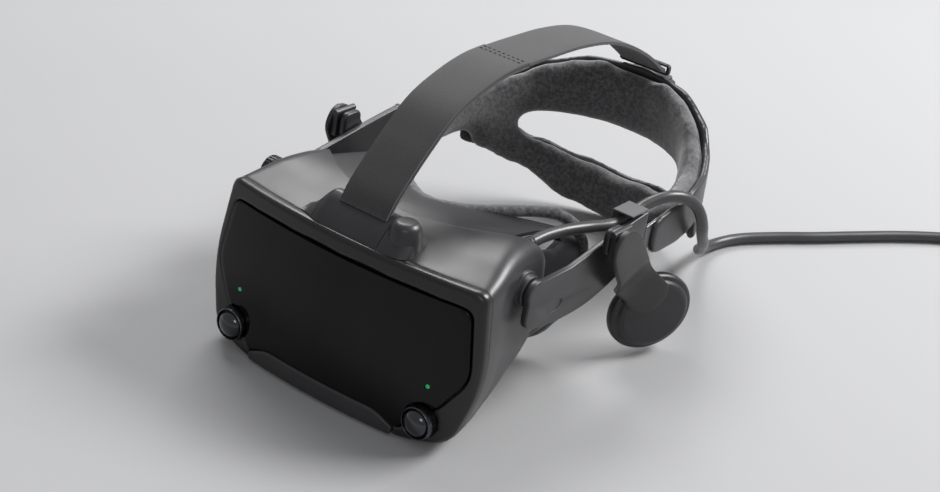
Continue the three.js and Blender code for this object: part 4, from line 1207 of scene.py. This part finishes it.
def coil_points(per_turn=30):
    """The wound lead: four turns across and four high, clockwise from the outside to the plug."""
    plan = []
    for layer, z in enumerate((3.55, 10.65, 17.75, 24.85)):
        across = (53.9, 46.8, 39.7, 32.6)
        plan += [(r, z) for r in (across if layer % 2 == 0 else across[::-1])]
    x, y, z = CORD_ROUTE[-1]
    start = degrees(atan2(y - COIL_Y, x - COIL_X))
    before = (hypot(y - COIL_Y, x - COIL_X), z)
    made = []
    for number, (radius, height) in enumerate(plan + [(56.5, 32.2)]):
        last = number == len(plan)
        for k in range(1 if number == 0 else 0, per_turn // 6 + 1 if last else per_turn):
            share = k / per_turn
            t = min(1, share * (6 if last else 2))
            ease = t * t * (3 - 2 * t)
            r = before[0] + (radius - before[0]) * ease
            z = before[1] + (height - before[1]) * ease
            if abs(height - before[1]) > 1:
                r += copysign(3.8, before[0] - 44) * sin(pi * t) ** 2
            angle = start - 360 * share
            away = abs((angle - TIE_TURN + 180) % 360 - 180)
            z += 1.75 * (1 - min(1, away / 34) ** 2) ** 2
            made.append((*spun(r, 0, radians(angle)), z))
        before = (radius, height)
    bend = 30.9
    turns = [radians(a) for a in (45, 30, 15, 0)]
    end = [(13.1 + bend * cos(a), 22 + bend * sin(a)) for a in turns] + [(44, 14), (44, 6)]
    end = [(x, y, 32.3 + 0.3 * step) for step, (x, y) in enumerate(end)]
    return np.vstack([at_coil(made, 0), at_coil(end, PLUG_TURN)])


def build_tether():
    line = smooth_line(np.vstack([CORD_ROUTE, coil_points()]), 4)
    section = [(CORD_RADIUS * cos(t), CORD_RADIUS * sin(t)) for t in full_turn(16)]
    outward = [np.array([1.0, 0.2, 0.1])]
    for tangent in np.gradient(line, axis=0)[1:]:
        tangent = tangent / norm(tangent)
        carried = outward[-1] - tangent * np.dot(outward[-1], tangent)
        outward.append(carried / norm(carried))
    cord = skin("tether_lead", sweep(line, section, outward) * MM, placed=True)
    dress(cord, None, JACKET, ["tether_cord", "tether_coil"], 60)
    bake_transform(cord)
    tie = build_tie()
    plug = build_plug()


def build_tie():
    """Tape round one side of the coil."""
    loop = rectangle(26.5, 60.4, 0.05, 32.6, (5, 6), 8, 8)
    inside = rectangle(28.1, 58.8, 1.55, 31.1, (4, 5), 8, 8)
    rings = []
    for outline, y in ((loop, -5.6), (loop, -6), (inside, -6), (inside, 6), (loop, 6), (loop, 5.6)):
        ring = np.c_[outline[:, 0], np.full(len(outline), y), outline[:, 1]]
        rings.append(at_coil(ring, TIE_TURN) * MM)
    tie = skin("lead_tie", rings, closed=True, placed=True)
    weave_map(tie, lambda point: (point[0], point[1] + point[2]))
    return dress(tie, "headband", TAPE, ["coil_tie"], 45)


def build_plug():
    """Breakaway half-connector: rounded body, ribbed relief and an open socket."""
    def seat(flat, y):
        return at_coil(np.c_[flat[:, 0], np.full(len(flat), y), flat[:, 1]] + PLUG_AT, PLUG_TURN) * MM

    outline = rounded([(7, 4.5, 3), (7, -4.5, 3), (-7, -4.5, 3), (-7, 4.5, 3)], 8, 4)
    profile = [(0.55, 0.4), (0.9, 0.1), (1, -1.2), (1, -8), (0.96, -8.6), (0.96, -9.4), (1, -10), (1, -22.6),
               (0.94, -23.8), (0.72, -24), (0.66, -23.6), (0.66, -19), (0.3, -19)]
    body = skin("plug_body", [seat(outline * scale, y) for scale, y in profile], placed=True)
    angles = full_turn(40)
    rings = []
    for y in np.linspace(0, 20, 61):
        radius = 4.3 - 0.4 * y / 20 - (0.45 if 3 < y < 19 and (y % 2.6) < 0.9 else 0)
        rings.append(seat(np.c_[radius * np.cos(angles), radius * np.sin(angles)], y))
    relief = skin("plug_relief", rings, placed=True)
    return dress(joined("lead_plug", body, relief), "headband", SATIN, ["breakaway_plug"], 40)


# ---- Inner and small pieces ----
KEY_Z = (-48, -45)    # heights of the keys under the visor


def build_controls():
    outer = [(0, -98.9), (6.4, -98.9), (7.0, -98.3), (8.0, -98.9), (9, -98.2), (9, -93.4), (8.4, -92.8)]
    profile = filleted(outer + [(2, -92.8), (2, -80), (0, -80)], 0.4, 4)
    knob = lathe("relief_wheel", profile, (0, HUB_Y, HUB_Z), "x", 192, ripple=grooves(24, 0.55, 8.4))
    dress(knob, "relief_knob", SATIN, ["relief_knob"], 40)
    button = slab("system_key", rectangle(24.3, 35.7, 8.3, 15.7, 3.4), *KEY_Z, 0.7, "z")
    dress(button, "system_button", SATIN, ["system_button"], 45)
    key = slab("ipd_key", rectangle(-41, -31, 6.3, 15.7, 2), *KEY_Z, 0.6, "z")
    ribs = (-38.5, -36.8, -35.2, -33.5)
    carve(key, *(block("rib_tool", x - 0.35, x + 0.35, 5, 17, -48.5, -47.4) for x in ribs))
    dress(key, "ipd_slider", SATIN, ["ipd_slider"], 45)


def paint_inner_nodes():
    """Materials of the CAD solids that stay as they are, inside or behind other pieces."""
    looks = {"bay_tray": SATIN, "main_board": BOARD, "lens_carriage": SATIN, "dial_pinion": STEEL}
    for name, _ in SIDES:
        looks |= {f"{name}_display": PANEL, f"{name}_hub_pin": STEEL, f"{name}_stem_guide": SATIN,
                  f"{name}_speaker_driver": STEEL}
    for name, material in looks.items():
        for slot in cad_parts[name].material_slots:
            slot.link = "OBJECT"
            slot.material = material


# ---- Studio ----
def area_light(name, where, aim, size, power):
    data = bpy.data.lights.new(name, "AREA")
    data.shape, data.size, data.size_y, data.energy = "RECTANGLE", size[0], size[1], power
    light = bpy.data.objects.new(name, data)
    bpy.context.collection.objects.link(light)
    light.location = where
    light.rotation_mode = "QUATERNION"
    light.rotation_quaternion = (Vector(aim) - Vector(where)).to_track_quat("-Z", "Y")


def build_studio():
    floor = make("floor", [(-9, -9, 0), (9, -9, 0), (9, 9, 0), (-9, 9, 0)], [(0, 1, 2, 3)], placed=True)
    floor.location.z = -0.0004
    floor.data.materials.append(floor_paint("floor_paint"))
    world = bpy.data.worlds.new("world")
    bpy.context.scene.world = world
    world.use_nodes = True
    sky = world.node_tree.nodes["Background"]
    sky.inputs["Color"].default_value = (0.93, 0.94, 0.96, 1)
    sky.inputs["Strength"].default_value = 0.36
    area_light("key", (1.0, 1.3, 1.5), (0, 0, 0.06), (0.9, 0.7), 60)
    area_light("top", (-1.0, 0.9, 1.6), (0, 0, 0.06), (1.2, 0.9), 30)
    area_light("front", (0.9, -1.6, 1.1), (0, 0, 0.05), (0.8, 0.6), 5)
    bpy.context.scene.view_settings.view_transform = "Standard"


build_tether()
build_housing()
build_bezel()
build_plate()
build_trim()
build_cameras()
build_anchor()
build_hubs()
build_gasket()
build_gasket_frame()
build_gland()
build_optics()
build_arms()
build_clip()
build_speakers()
build_stems()
build_cradle()
build_dial()
build_straps()
build_controls()
paint_inner_nodes()
build_studio()
